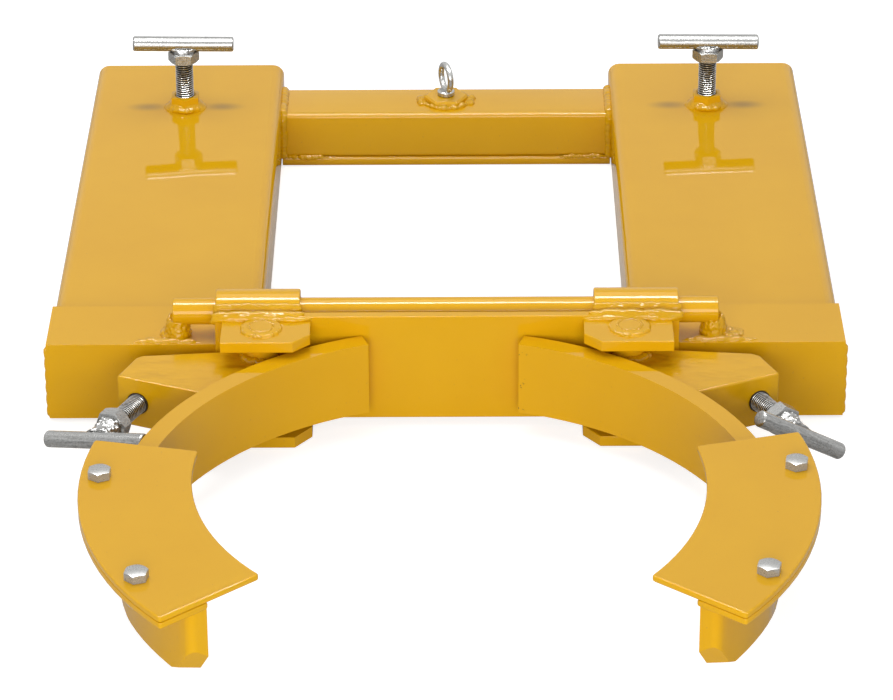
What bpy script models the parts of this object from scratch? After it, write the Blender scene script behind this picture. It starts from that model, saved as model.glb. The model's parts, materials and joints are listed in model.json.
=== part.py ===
"""Drum lifter: a frame with two fork pockets, a tilting head and two clamping arms.

Metres, +Z up. While the pieces are made, the datum lies on the floor under the middle of the front
angle's face: +Y runs back towards the truck and +X to the right of someone in front of the arms.
The last step moves the whole lifter so that its box stands centred on the origin.
"""

import math

import bmesh
import bpy
from mathutils import Vector

# Fits
SEAT = 0.0003  # gap between two pieces that touch, or between a pin and its bore
MERGE = 0.000001

# Fork pockets
POCKET_WIDTH = 0.2032
POCKET_HEIGHT = 0.0762
POCKET_WALL = 0.00635
POCKET_CORNER = 0.012
POCKET_LENGTH = 0.6614
POCKET_SPACING = 0.5588  # centre to centre

# Front angle, which laps over the pockets' front ends
ANGLE_LEG = 0.080
ANGLE_WALL = 0.00635
END_WELD_RADIUS = 0.0028
END_WELD_LUMPS = 6

# Rear cross tube, with a flat bar under it
CROSS_DEPTH = 0.069
CROSS_HEIGHT = 0.0508
CROSS_WALL = 0.0048
CROSS_CORNER = 0.0055
CROSS_BAR_THICKNESS = 0.0095
CROSS_BAR_CORNER = 0.001
CROSS_SETBACK = 0.028  # from the pockets' open ends

# Eye bolt and its pad
EYE_PAD_FLATS = 0.0413
EYE_PAD_HEIGHT = 0.007
EYE_BAR = 0.0066
EYE_RING_DIAMETER = 0.0348
EYE_COLLAR_DIAMETER = 0.0185
EYE_COLLAR_HEIGHT = 0.0055
EYE_COLLAR_CHAMFER = 0.001
EYE_RISE = 0.0201  # ring centre above the pad
EYE_SHANK_LENGTH = 0.026
EYE_TURN_DEG = 111.0

# Tee screws, alike on the forks and on the arms
SCREW_DIAMETER = 0.01905
SCREW_POINT_CHAMFER = 0.0015
HEX_FLATS = 0.0286
HEX_CHAMFER_DEG = 25.0
TEE_BAR_DIAMETER = 0.0159
TEE_BAR_LENGTH = 0.107
TEE_BAR_CHAMFER = 0.0012
TEE_HUB_DIAMETER = 0.023

# Fork screws
FORK_SCREW_SETBACK = 0.1105  # from the pockets' open ends
FORK_NUT_HEIGHT = 0.0152
FORK_NUT_WELD_HEIGHT = 0.004
FORK_NUT_WELD_DIAMETER = 0.0355
FORK_NUT_WELD_SLOPE = 0.003  # how far its skirt falls outwards
FORK_SCREW_LENGTH = 0.0603
FORK_SCREW_POINT = 0.0002  # rise of the point above the pocket's roof
FORK_HEX_HEIGHT = 0.0115
FORK_TEE_RISE = 0.0195  # bar centre above the hexagon's lower face
FORK_TEE_TURN_DEG = {-1: 1.8, 1: 2.2}
FORK_TEE_LEAN_DEG = 1.4  # the bar's right end is the lower one

# Hinge rod on its saddles
ROD_DIAMETER = 0.0254
ROD_REACH = 0.0396  # mean length past the head plate's end
ROD_SETBACK = 0.0205
ROD_HEIGHT = 0.0249  # axis above the angle's top
SADDLE_WIDTH = 0.026
SADDLE_BASE = 0.036
SADDLE_TOP = 0.031
SADDLE_OVERHANG = 0.008  # past the rod's end
SADDLE_GRIP_DEG = 12.0  # how far below the axis its cradle stops

# Head: plate, sleeves, ears and pins
PLATE_WIDTH = 0.440
PLATE_OFFSET = 0.0015  # its middle stands right of the frame's middle
PLATE_HEIGHT = 0.1092
PLATE_THICKNESS = 0.0095
PLATE_TOP = 0.0095  # above the rod's axis
PLATE_CORNER = 0.0015
SLEEVE_DIAMETER = 0.0422
SLEEVE_LENGTH = 0.0805
EAR_WIDTH = 0.0841
EAR_DEPTH = 0.0448
EAR_THICKNESS = 0.011
EAR_SETBACK = 0.007  # from the plate's end
EAR_CHAMFER_ACROSS = 0.016
EAR_CHAMFER_UPPER = 0.016
EAR_CHAMFER_LOWER = 0.021
EAR_SPACING = 0.0907  # between the upper and the lower ear
EAR_LOWER_FLOOR = 0.0007  # lower ear above the ground
PIN_DIAMETER = 0.022
PIN_INSET = 0.0463  # mean distance from the plate's end to the axis
PIN_STAND_OFF = 0.017  # axis ahead of the plate's face
PIN_PROUD = 0.0006
EAR_WELD_DIAMETER = 0.039
EAR_WELD_HEIGHT = 0.0028
EAR_WELD_BEVEL = 0.0018

# Arms: u runs outwards from the pin and v backwards
ARM_TURN_DEG = {-1: 0.0, 1: 1.4}  # the right arm stands a little further open
BARREL_DIAMETER = 0.032
BAND_PIN_GAP = 0.0293  # from the pin's axis to the band's outer face
PIN_STATION_DEG = 54.77  # where the pin stands round the band's centre
BAND_INNER_RADIUS = 0.297
BAND_THICKNESS = 0.019
BAND_HEIGHT = 0.073
BAND_FLOOR = 0.0242
BAND_END_BACK = {-1: 0.0161, 1: 0.0176}  # how far behind the pin's axis its rear end reaches
BAND_TIP_DEG = {-1: -40.4, 1: -39.6}
TIP_ROUND = 0.008  # the outer corner of the tip, in plan
# The tip's lower corner is ground away: how far back, and how high, along each face
TIP_INNER_LINE = ((0.0, 0.0245), (0.0124, 0.0072), (0.0285, 0.0))
TIP_OUTER_LINE = ((0.019, 0.012), (0.0316, 0.007), (0.130, 0.0))

# Screw brackets
BRACKET_FLOOR = 0.0352
BRACKET_HEIGHT = 0.051
BRACKET_FRONT_CORNER = Vector((0.1343, -0.0412))
BRACKET_SIDE_CORNER = Vector((0.1193, -0.0058))
BRACKET_REAR_CORNER = Vector((0.1125, -0.0007))
BRACKET_BACK_POINT = Vector((0.0405, 0.0060))
BRACKET_FACE_DEG = 22.9  # slant of the front face
BRACKET_WRAP_DEG = -105.0  # how far it follows the barrel round
BRACKET_SHIFT = {-1: Vector((0.0, 0.0)), 1: Vector((0.0039, -0.0033))}
ARM_SCREW_STATION = 0.0206  # along the front face from its outer corner
ARM_SCREW_SLANT_DEG = 25.5
ARM_SCREW_LENGTH = 0.1143
ARM_SCREW_SHOWING = {-1: 0.038, 1: 0.033}  # from the bracket's face to the hexagon
ARM_HEX_HEIGHT = 0.014
ARM_TEE_RISE = 0.040
ARM_TEE_TURN_DEG = {-1: 11.5, 1: -33.0}

# Shoes: a flange on the band and a grip plate bolted on it
FLANGE_THICKNESS = 0.006
GRIP_THICKNESS = 0.006
SHOE_OVERHANG = 0.033  # past the band's outer face
SHOE_START_DEG = {-1: 12.6, 1: 13.7}
SHOE_TIP_DEG = {-1: -41.0, 1: -40.8}
# The grip plates' inner edges are cut on arcs of their own, which bite into the drum as the arms close
GRIP_ARC_OFFSET = {-1: Vector((-0.0116, 0.0155)), 1: Vector((-0.0311, 0.0101))}  # from the band's centre
GRIP_ARC_REACH = {-1: 0.0358, 1: 0.0166}  # how much smaller than the band's inner radius
SHOE_CORNER = 0.003
GRIP_BOLT_DIAMETER = 0.0127
GRIP_BOLT_LENGTH = 0.0286
GRIP_BOLT_FLATS = 0.01905
GRIP_BOLT_HEAD = 0.0079
GRIP_NUT_HEIGHT = 0.0111
GRIP_BOLT_STAND_OFF = 0.015  # outside the band's outer face
GRIP_BOLT_DEG = {"rear": {-1: 1.4, 1: 3.2}, "front": {-1: -30.0, 1: -29.1}}
GRIP_BOLT_TURN_DEG = {"rear": {-1: 26.0, 1: 19.0}, "front": {-1: 19.0, 1: 15.0}}

# Heights and places that follow from the sizes above
ANGLE_TOP = POCKET_HEIGHT + SEAT + ANGLE_WALL
POCKET_FRONT = ANGLE_WALL + SEAT
POCKET_REAR = POCKET_FRONT + POCKET_LENGTH
FRAME_WIDTH = POCKET_SPACING + POCKET_WIDTH
CLEAR_WIDTH = POCKET_SPACING - POCKET_WIDTH - 2 * SEAT
ROD_Z = ANGLE_TOP + ROD_HEIGHT
ROD_LENGTH = PLATE_WIDTH + 2 * ROD_REACH
PIN_SPACING = PLATE_WIDTH - 2 * PIN_INSET
PLATE_FACE = ROD_SETBACK - SLEEVE_DIAMETER / 2 - SEAT - PLATE_THICKNESS
EAR_BACK = PLATE_FACE - SEAT
PIN_Y = PLATE_FACE - PIN_STAND_OFF
UPPER_EAR_FLOOR = EAR_LOWER_FLOOR + EAR_THICKNESS + EAR_SPACING
BAND_OUTER_RADIUS = BAND_INNER_RADIUS + BAND_THICKNESS
PIN_STATION = math.radians(PIN_STATION_DEG)
BAND_CENTRE = -(BAND_OUTER_RADIUS + BAND_PIN_GAP) * Vector((math.cos(PIN_STATION), math.sin(PIN_STATION)))
BAND_START_DEG = {
    side: math.degrees(math.asin((back - BAND_CENTRE.y) / BAND_OUTER_RADIUS)) for side, back in BAND_END_BACK.items()
}
SHOE_OUTER_RADIUS = BAND_OUTER_RADIUS + SHOE_OVERHANG
GRIP_BOLT_RADIUS = BAND_OUTER_RADIUS + GRIP_BOLT_STAND_OFF
BAND_TOP = BAND_FLOOR + BAND_HEIGHT
FLANGE_FLOOR = BAND_TOP + SEAT
GRIP_FLOOR = FLANGE_FLOOR + FLANGE_THICKNESS + SEAT
GRIP_TOP = GRIP_FLOOR + GRIP_THICKNESS
SIDES = {"left": -1, "right": 1}

PAINT = ((0.74, 0.39, 0.03), 0.28, 0.0)
ZINC = ((0.60, 0.61, 0.60), 0.35, 1.0)
ALONG_X = (math.pi / 2, 0.0, math.pi / 2)
ALONG_Y = (math.pi / 2, 0.0, 0.0)

for old in list(bpy.data.objects):
    bpy.data.objects.remove(old)
lifter = bpy.data.collections.new("drum_lifter")
shaping = bpy.data.collections.new("shaping")
for group in (lifter, shaping):
    bpy.context.scene.collection.children.link(group)


def own_material(name, look):
    """A plain material for one piece."""
    colour, roughness, metallic = look
    made = bpy.data.materials.new(name + "_finish")
    made.use_nodes = True
    shader = made.node_tree.nodes["Principled BSDF"]
    shader.inputs["Base Color"].default_value = (*colour, 1.0)
    shader.inputs["Roughness"].default_value = roughness
    shader.inputs["Metallic"].default_value = metallic
    made.diffuse_color = (*colour, 1.0)
    return made


def carrier(name, parent=None, at=(0.0, 0.0, 0.0), turn=(0.0, 0.0, 0.0)):
    """An empty that pieces hang on, set on the axis that they move about."""
    empty = bpy.data.objects.new(name, None)
    empty.empty_display_size = 0.03
    lifter.objects.link(empty)
    empty.parent = parent
    empty.location = at
    empty.rotation_euler = turn
    return empty


def placed(name, bm, group, held_by, at, turn):
    """A bmesh made into an object, with smooth round faces and sharp edges."""
    bmesh.ops.recalc_face_normals(bm, faces=bm.faces)
    mesh = bpy.data.meshes.new(name)
    bm.to_mesh(mesh)
    bm.free()
    mesh.shade_smooth()
    mesh.set_sharp_from_angle(angle=math.radians(35))
    made = bpy.data.objects.new(name, mesh)
    group.objects.link(made)
    made.parent = held_by
    made.location = at
    made.rotation_euler = turn
    return made


def piece(name, bm, held_by, at=(0.0, 0.0, 0.0), turn=(0.0, 0.0, 0.0), look=PAINT):
    made = placed(name, bm, lifter, held_by, at, turn)
    made.data.materials.append(own_material(name, look))
    return made


def shaped(target, bm, operation, at=(0.0, 0.0, 0.0), turn=(0.0, 0.0, 0.0)):
    """Cuts a shape from a piece, or joins the shape to it; both hang on the same carrier."""
    helper = placed(target.name + "_" + operation.lower(), bm, shaping, target.parent, at, turn)
    helper.hide_render = True
    helper.display_type = "WIRE"
    step = target.modifiers.new(helper.name, "BOOLEAN")
    step.operation = operation
    step.object = helper
    step.solver = "EXACT"
    return target


def read_back(made):
    """The evaluated mesh of a helper object as a bmesh; the helper is removed."""
    bpy.context.scene.collection.objects.link(made)
    graph = bpy.context.evaluated_depsgraph_get()
    mesh = bpy.data.meshes.new_from_object(made.evaluated_get(graph))
    bm = bmesh.new()
    bm.from_mesh(mesh)
    bmesh.ops.remove_doubles(bm, verts=bm.verts, dist=MERGE)
    bpy.data.meshes.remove(mesh)
    bpy.data.objects.remove(made)
    return bm


def slab(outlines, thickness):
    """A flat outline, with a hole for each further outline, thickened upwards from z = 0."""
    curve = bpy.data.curves.new("outline", "CURVE")
    curve.dimensions = "2D"
    curve.fill_mode = "BOTH"
    curve.extrude = thickness / 2
    for outline in outlines:
        spline = curve.splines.new("POLY")
        spline.points.add(len(outline) - 1)
        for point, place in zip(spline.points, outline):
            point.co = (place[0], place[1], 0.0, 1.0)
        spline.use_cyclic_u = True
    bm = read_back(bpy.data.objects.new("outline", curve))
    bpy.data.curves.remove(curve)
    bmesh.ops.translate(bm, verts=bm.verts, vec=(0.0, 0.0, thickness / 2))
    return bm


def turned(profile, sides=32):
    """A profile of (radius, height) pairs, listed from top to bottom, turned about Z."""
    mesh = bpy.data.meshes.new("profile")
    corners = [(radius, 0.0, height) for radius, height in profile]
    mesh.from_pydata(corners, [(i, i + 1) for i in range(len(corners) - 1)], [])
    blank = bpy.data.objects.new("profile", mesh)
    screw = blank.modifiers.new("turn", "SCREW")
    screw.steps = sides
    screw.render_steps = sides
    screw.use_merge_vertices = True
    screw.merge_threshold = 0.00001
    return read_back(blank)


def round_bar(diameter, length, chamfer=0.0, sides=32):
    """A bar from z = 0 upwards, with both ends chamfered."""
    radius = diameter / 2
    if chamfer == 0.0:
        return turned([(0.0, length), (radius, length), (radius, 0.0), (0.0, 0.0)], sides)
    profile = [
        (0.0, length),
        (radius - chamfer, length),
        (radius, length - chamfer),
        (radius, chamfer),
        (radius - chamfer, 0.0),
        (0.0, 0.0),
    ]
    return turned(profile, sides)


def pipe(outer, inner, length, sides=40):
    """A round tube from z = 0 upwards."""
    return slab([circle(outer / 2, sides), circle(inner / 2, sides)], length)


def circle(radius, sides, centre=(0.0, 0.0), start_deg=0.0):
    return arc(centre, radius, start_deg, start_deg + 360.0 * (sides - 1) / sides, sides - 1)


def arc(centre, radius, start_deg, end_deg, steps):
    """Points along an arc, both ends included."""
    points = []
    for i in range(steps + 1):
        angle = math.radians(start_deg + (end_deg - start_deg) * i / steps)
        points.append((centre[0] + radius * math.cos(angle), centre[1] + radius * math.sin(angle)))
    return points


def rounded_rectangle(width, height, corner, steps=5):
    """The section of a rectangular tube: four arcs joined by straight sides."""
    points = []
    for quarter, (across, up) in enumerate(((1, 1), (-1, 1), (-1, -1), (1, -1))):
        centre = (across * (width / 2 - corner), up * (height / 2 - corner))
        points += arc(centre, corner, 90.0 * quarter, 90.0 * quarter + 90.0, steps)
    return points


def box_tube(width, height, wall, corner, length):
    """A rectangular tube along +Z with its section in X and Y."""
    inner = max(corner - wall, 0.0005)
    outer_line = rounded_rectangle(width, height, corner)
    return slab([outer_line, rounded_rectangle(width - 2 * wall, height - 2 * wall, inner)], length)


def hexagon(flats, turn_deg=0.0):
    """Corners of a hexagon, given its size over the flats."""
    return circle(flats / math.sqrt(3), 6, start_deg=turn_deg)


def hex_prism(flats, height, bore=0.0, turn_deg=0.0, top_chamfer=True):
    """A nut or a bolt's head from z = 0 upwards, its corners turned off at the top."""
    outlines = [hexagon(flats, turn_deg)]
    if bore:
        outlines.append(circle(bore / 2, 24))
    bm = slab(outlines, height)
    if top_chamfer:
        corner_radius = flats / math.sqrt(3)
        drop = (corner_radius - flats / 2) * math.tan(math.radians(HEX_CHAMFER_DEG)) + 0.0004
        rims = [e for e in bm.edges if is_top_rim(e, height, flats * 0.48)]
        bmesh.ops.bevel(bm, geom=rims, offset=drop, affect="EDGES", segments=1, profile=0.5, material=-1)
    return bm


def is_top_rim(edge, height, least_radius):
    """Whether an edge runs along the outline of a prism's top."""
    ends = [vert.co for vert in edge.verts]
    high = all(abs(end.z - height) < MERGE for end in ends)
    middle = (ends[0] + ends[1]) / 2
    return high and middle.xy.length > least_radius and len(edge.link_faces) == 2 and any(
        abs(face.normal.z) < 0.5 for face in edge.link_faces
    )


def fillet(before, corner, after, radius, steps=3):
    """Points that round one corner of an outline."""
    corner = Vector(corner)
    back = (Vector(before) - corner).normalized()
    ahead = (Vector(after) - corner).normalized()
    half = back.angle(ahead) / 2
    reach = radius / math.tan(half)
    centre = corner + (back + ahead).normalized() * (radius / math.sin(half))
    first = corner + back * reach - centre
    last = corner + ahead * reach - centre
    turn = math.atan2(first.cross(last), first.dot(last))
    start = math.degrees(math.atan2(first.y, first.x))
    return arc(centre, radius, start, start + math.degrees(turn), steps)


def round_corners(points, corners):
    """An outline with a small fillet at the corners whose places in the list are given."""
    outline = []
    for i, place in enumerate(points):
        if i in corners:
            outline += fillet(points[i - 1], place, points[(i + 1) % len(points)], SHOE_CORNER)
        else:
            outline.append(place)
    return outline


def flange_outline(side):
    """Part of a flat ring round the band's centre, in line with the band's inner face."""
    start, tip = SHOE_START_DEG[side], SHOE_TIP_DEG[side]
    far = arc(BAND_CENTRE, SHOE_OUTER_RADIUS, start, tip, 18)
    near = arc(BAND_CENTRE, BAND_INNER_RADIUS, tip, start, 18)
    return round_corners(far + near, {0, 18, 19, 37})


def to_side(bm, side):
    """A right-hand shape as it is, or mirrored for the left."""
    if side < 0:
        bmesh.ops.scale(bm, verts=bm.verts, vec=(-1.0, 1.0, 1.0))
        bmesh.ops.reverse_faces(bm, faces=bm.faces)
    return bm


def fork_pocket(word, side, frame):
    """The screw's hole goes through the top wall only."""
    tube = box_tube(POCKET_WIDTH, POCKET_HEIGHT, POCKET_WALL, POCKET_CORNER, POCKET_LENGTH)
    centre_x = side * POCKET_SPACING / 2
    pocket = piece("fork_pocket_" + word, tube, frame, (centre_x, POCKET_REAR, POCKET_HEIGHT / 2), ALONG_Y)
    drill = round_bar(SCREW_DIAMETER + 4 * SEAT, 4 * POCKET_WALL)
    hole_floor = POCKET_HEIGHT - 2 * POCKET_WALL
    shaped(pocket, drill, "DIFFERENCE", (centre_x, POCKET_REAR - FORK_SCREW_SETBACK, hole_floor))


def front_angle(frame):
    section = [
        (0.0, ANGLE_TOP - ANGLE_LEG),
        (ANGLE_WALL, ANGLE_TOP - ANGLE_LEG),
        (ANGLE_WALL, ANGLE_TOP - ANGLE_WALL),
        (ANGLE_LEG, ANGLE_TOP - ANGLE_WALL),
        (ANGLE_LEG, ANGLE_TOP),
        (0.0, ANGLE_TOP),
    ]
    angle = piece("front_angle", slab([section], FRAME_WIDTH), frame, (-FRAME_WIDTH / 2, 0.0, 0.0), ALONG_X)
    for word, side in SIDES.items():
        column = turned(end_weld_profile(), 10)
        place = (side * FRAME_WIDTH / 2, ANGLE_WALL / 2, ANGLE_TOP - ANGLE_LEG)
        shaped(angle, column, "UNION", place)


def end_weld_profile(steps_per_lump=4):
    """The lumpy weld that runs down the angle's end, top to bottom."""
    height = ANGLE_LEG - ANGLE_WALL / 2
    steps = END_WELD_LUMPS * steps_per_lump
    points = [(0.0, height)]
    for i in range(1, steps):
        swell = abs(math.sin(math.pi * i / steps_per_lump))
        points.append((END_WELD_RADIUS * (0.72 + 0.28 * swell), height * (1 - i / steps)))
    return points + [(0.0, 0.0)]


def rear_cross_member(frame):
    """A tube with a flat bar under it, flush with the ground."""
    rear = POCKET_REAR - CROSS_SETBACK
    bar = slab([rounded_rectangle(CROSS_DEPTH, CROSS_BAR_THICKNESS, CROSS_BAR_CORNER, 2)], CLEAR_WIDTH)
    start = (-CLEAR_WIDTH / 2, rear - CROSS_DEPTH / 2, CROSS_BAR_THICKNESS / 2)
    piece("rear_cross_bar", bar, frame, start, ALONG_X)
    tube = box_tube(CROSS_DEPTH, CROSS_HEIGHT, CROSS_WALL, CROSS_CORNER, CLEAR_WIDTH)
    tube_centre = CROSS_BAR_THICKNESS + SEAT + CROSS_HEIGHT / 2
    start = (-CLEAR_WIDTH / 2, rear - CROSS_DEPTH / 2, tube_centre)
    made = piece("rear_cross_tube", tube, frame, start, ALONG_X)
    drill = round_bar(EYE_BAR + 4 * SEAT, 4 * CROSS_WALL)
    shaped(made, drill, "DIFFERENCE", (0.0, rear - CROSS_DEPTH / 2, tube_centre + CROSS_HEIGHT / 2 - 2 * CROSS_WALL))


def eye(frame):
    """The pad is welded on the cross tube and the eye bolt is screwed through it."""
    pad_floor = CROSS_BAR_THICKNESS + CROSS_HEIGHT + 2 * SEAT
    at = (0.0, POCKET_REAR - CROSS_SETBACK - CROSS_DEPTH / 2, pad_floor)
    bore = EYE_BAR + 2 * SEAT
    piece("eye_pad", hex_prism(EYE_PAD_FLATS, EYE_PAD_HEIGHT, bore), frame, at)
    ring_radius = (EYE_RING_DIAMETER - EYE_BAR) / 2
    radius = EYE_COLLAR_DIAMETER / 2
    shank = EYE_BAR / 2
    bolt = turned(
        [
            (0.0, EYE_COLLAR_HEIGHT),
            (radius - EYE_COLLAR_CHAMFER, EYE_COLLAR_HEIGHT),
            (radius, EYE_COLLAR_HEIGHT - EYE_COLLAR_CHAMFER),
            (radius, 0.0),
            (shank, 0.0),
            (shank, -EYE_SHANK_LENGTH),
            (0.0, -EYE_SHANK_LENGTH),
        ],
        24,
    )
    seat = (0.0, at[1], pad_floor + EYE_PAD_HEIGHT + SEAT)
    made = piece("eye_bolt", bolt, frame, seat, look=ZINC)
    section = circle(EYE_BAR / 2, 12, (ring_radius, 0.0))
    ring = turned([section[0]] + section[::-1])
    middle = (0.0, at[1], seat[2] + EYE_RISE)
    shaped(made, ring, "UNION", middle, (math.pi / 2, 0.0, math.radians(EYE_TURN_DEG)))


def fork_screw(word, side, frame):
    """A nut on the pocket, and a tee screw that clamps the fork inside."""
    x = side * POCKET_SPACING / 2
    y = POCKET_REAR - FORK_SCREW_SETBACK
    nut_floor = POCKET_HEIGHT + SEAT
    bore = SCREW_DIAMETER + 2 * SEAT
    nut = piece("fork_screw_nut_" + word, hex_prism(HEX_FLATS, FORK_NUT_HEIGHT, bore, 30.0), frame, (x, y, nut_floor))
    outer = FORK_NUT_WELD_DIAMETER / 2
    inner = (bore + HEX_FLATS) / 4
    skirt = turned(
        [
            (inner, FORK_NUT_WELD_HEIGHT),
            (outer - FORK_NUT_WELD_SLOPE, FORK_NUT_WELD_HEIGHT),
            (outer, 0.0),
            (inner, 0.0),
            (inner, FORK_NUT_WELD_HEIGHT),
        ]
    )
    shaped(nut, skirt, "UNION", (x, y, nut_floor))
    point = POCKET_HEIGHT - POCKET_WALL + FORK_SCREW_POINT
    advance = carrier("fork_screw_" + word + "_axis", frame, (x, y, point))
    screw = round_bar(SCREW_DIAMETER, FORK_SCREW_LENGTH, SCREW_POINT_CHAMFER)
    piece("fork_screw_" + word, screw, advance, look=ZINC)
    turn = (0.0, 0.0, math.radians(FORK_TEE_TURN_DEG[side]))
    handle = carrier("fork_tee_" + word + "_axis", advance, (0.0, 0.0, FORK_SCREW_LENGTH + SEAT), turn)
    tee("fork_tee_" + word, handle, FORK_HEX_HEIGHT, FORK_TEE_RISE, FORK_TEE_LEAN_DEG)


def tee(name, handle, hex_height, rise, lean_deg=0.0):
    """A hexagonal head with a cross bar welded over it; the bar lies near the carrier's X."""
    made = piece(name, hex_prism(HEX_FLATS, hex_height), handle, look=ZINC)
    overlap = 0.001
    hub = round_bar(TEE_HUB_DIAMETER, rise - hex_height + overlap)
    shaped(made, hub, "UNION", (0.0, 0.0, hex_height - overlap))
    bar = round_bar(TEE_BAR_DIAMETER, TEE_BAR_LENGTH, TEE_BAR_CHAMFER)
    bmesh.ops.translate(bar, verts=bar.verts, vec=(0.0, 0.0, -TEE_BAR_LENGTH / 2))
    shaped(made, bar, "UNION", (0.0, 0.0, rise), (0.0, math.pi / 2 + math.radians(lean_deg), 0.0))


def hinge_rod(frame):
    rod = round_bar(ROD_DIAMETER, ROD_LENGTH, 0.001)
    piece("hinge_rod", rod, frame, (-ROD_LENGTH / 2, ROD_SETBACK, ROD_Z), (0.0, math.pi / 2, 0.0))


def rod_saddle(word, side, frame):
    """A block that cradles the rod's end and stands on the angle."""
    base = SEAT - ROD_HEIGHT
    cradle = arc((0.0, 0.0), ROD_DIAMETER / 2 + SEAT, -SADDLE_GRIP_DEG, SADDLE_GRIP_DEG - 180.0, 16)
    shoulder = cradle[0][1]
    section = [(-SADDLE_BASE / 2, base), (SADDLE_BASE / 2, base), (SADDLE_TOP / 2, shoulder)]
    section += cradle + [(-SADDLE_TOP / 2, shoulder)]
    outer_end = ROD_LENGTH / 2 + SADDLE_OVERHANG
    start = outer_end - SADDLE_WIDTH if side > 0 else -outer_end
    piece("rod_saddle_" + word, slab([section], SADDLE_WIDTH), frame, (start, ROD_SETBACK, ROD_Z), ALONG_X)


def head_plate(head):
    plate = slab([rounded_rectangle(PLATE_WIDTH, PLATE_HEIGHT, PLATE_CORNER, 2)], PLATE_THICKNESS)
    middle = PLATE_TOP - PLATE_HEIGHT / 2
    piece("head_plate", plate, head, (PLATE_OFFSET, PLATE_FACE + PLATE_THICKNESS - ROD_SETBACK, middle), ALONG_Y)


def plate_reach(side):
    """How far one end of the head plate is from the frame's middle."""
    return PLATE_WIDTH / 2 + side * PLATE_OFFSET


def hinge_sleeve(word, side, head):
    sleeve = pipe(SLEEVE_DIAMETER, ROD_DIAMETER + 2 * SEAT, SLEEVE_LENGTH)
    start = plate_reach(side) - SLEEVE_LENGTH if side > 0 else -plate_reach(side)
    piece("hinge_sleeve_" + word, sleeve, head, (start, 0.0, 0.0), (0.0, math.pi / 2, 0.0))


def ear_outline(side, chamfer_deep):
    """An ear in plan, seen from its pin: square at the plate, its inner front corner cut off."""
    outer = plate_reach(side) - EAR_SETBACK - PIN_SPACING / 2
    inner = outer - EAR_WIDTH
    back = EAR_BACK - PIN_Y
    front = back - EAR_DEPTH
    return [
        (outer, back),
        (inner, back),
        (inner, front + chamfer_deep),
        (inner + EAR_CHAMFER_ACROSS, front),
        (outer, front),
    ]


def ears_and_pin(word, side, head):
    """Two ears hold the pivot pin, which is welded over its upper end."""
    to_head = Vector((0.0, ROD_SETBACK, ROD_Z))
    pin_x = side * PIN_SPACING / 2
    bore = circle(PIN_DIAMETER / 2 + SEAT, 32)
    lower = to_side(slab([ear_outline(side, EAR_CHAMFER_LOWER), bore], EAR_THICKNESS), side)
    piece("lower_ear_" + word, lower, head, Vector((pin_x, PIN_Y, EAR_LOWER_FLOOR)) - to_head)
    upper = to_side(slab([ear_outline(side, EAR_CHAMFER_UPPER), bore], EAR_THICKNESS), side)
    made = piece("upper_ear_" + word, upper, head, Vector((pin_x, PIN_Y, UPPER_EAR_FLOOR)) - to_head)
    ring = slab([weld_ring_outline(), bore], EAR_WELD_HEIGHT + SEAT)
    rims = [e for e in ring.edges if is_top_rim(e, EAR_WELD_HEIGHT + SEAT, PIN_DIAMETER * 0.6)]
    bmesh.ops.bevel(ring, geom=rims, offset=EAR_WELD_BEVEL, affect="EDGES", segments=2, profile=0.5, material=-1)
    ring_floor = UPPER_EAR_FLOOR + EAR_THICKNESS - SEAT
    shaped(made, ring, "UNION", Vector((pin_x, PIN_Y, ring_floor)) - to_head)
    pin_length = UPPER_EAR_FLOOR + EAR_THICKNESS + EAR_WELD_HEIGHT + PIN_PROUD - EAR_LOWER_FLOOR
    pin = round_bar(PIN_DIAMETER, pin_length, 0.0008)
    piece("pivot_pin_" + word, pin, head, Vector((pin_x, PIN_Y, EAR_LOWER_FLOOR)) - to_head)


def weld_ring_outline():
    """A circle cut off by the plate's face."""
    radius = EAR_WELD_DIAMETER / 2
    limit = math.degrees(math.asin((EAR_BACK - PIN_Y) / radius))
    return arc((0.0, 0.0), radius, limit, -180.0 - limit, 28)


def arm_band(word, side, arm):
    """A rolled bar round the drum, with its tip ground to a lead-in."""
    start, tip = BAND_START_DEG[side], BAND_TIP_DEG[side]
    far = arc(BAND_CENTRE, BAND_OUTER_RADIUS, start, tip, 36)
    near = arc(BAND_CENTRE, BAND_INNER_RADIUS, tip, start, 36)
    outline = far[:-1] + fillet(far[-2], far[-1], near[0], TIP_ROUND) + near
    bm = slab([outline], BAND_HEIGHT)
    inner = [tip_point(side, BAND_INNER_RADIUS, *place) for place in TIP_INNER_LINE]
    outer = [tip_point(side, BAND_OUTER_RADIUS, *place) for place in TIP_OUTER_LINE]
    grind(bm, inner[0], inner[1], outer[0])
    grind(bm, inner[1], inner[2], outer[0])
    grind(bm, inner[2], outer[1], outer[2])
    piece("arm_band_" + word, to_side(bm, side), arm, (0.0, 0.0, BAND_FLOOR - arm_height()))


def grind(bm, first, second, third):
    """Takes away what lies under the plane through three points."""
    normal = (second - first).cross(third - first).normalized()
    if normal.z > 0:
        normal.negate()
    everything = bm.verts[:] + bm.edges[:] + bm.faces[:]
    sliced = bmesh.ops.bisect_plane(
        bm, geom=everything, dist=MERGE, plane_co=first, plane_no=normal, clear_outer=True
    )
    rim = [item for item in sliced["geom_cut"] if isinstance(item, bmesh.types.BMEdge)]
    bmesh.ops.edgeloop_fill(bm, edges=rim)


def tip_point(side, radius, back_along, height):
    """A point on one face of the band near its tip, in the arm's plan."""
    angle = math.radians(BAND_TIP_DEG[side]) + back_along / radius
    plan = BAND_CENTRE + radius * Vector((math.cos(angle), math.sin(angle)))
    return Vector((plan.x, plan.y, height))


def arm_height():
    """Height of the arm's carrier: the middle of its screw."""
    return BRACKET_FLOOR + BRACKET_HEIGHT / 2


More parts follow.
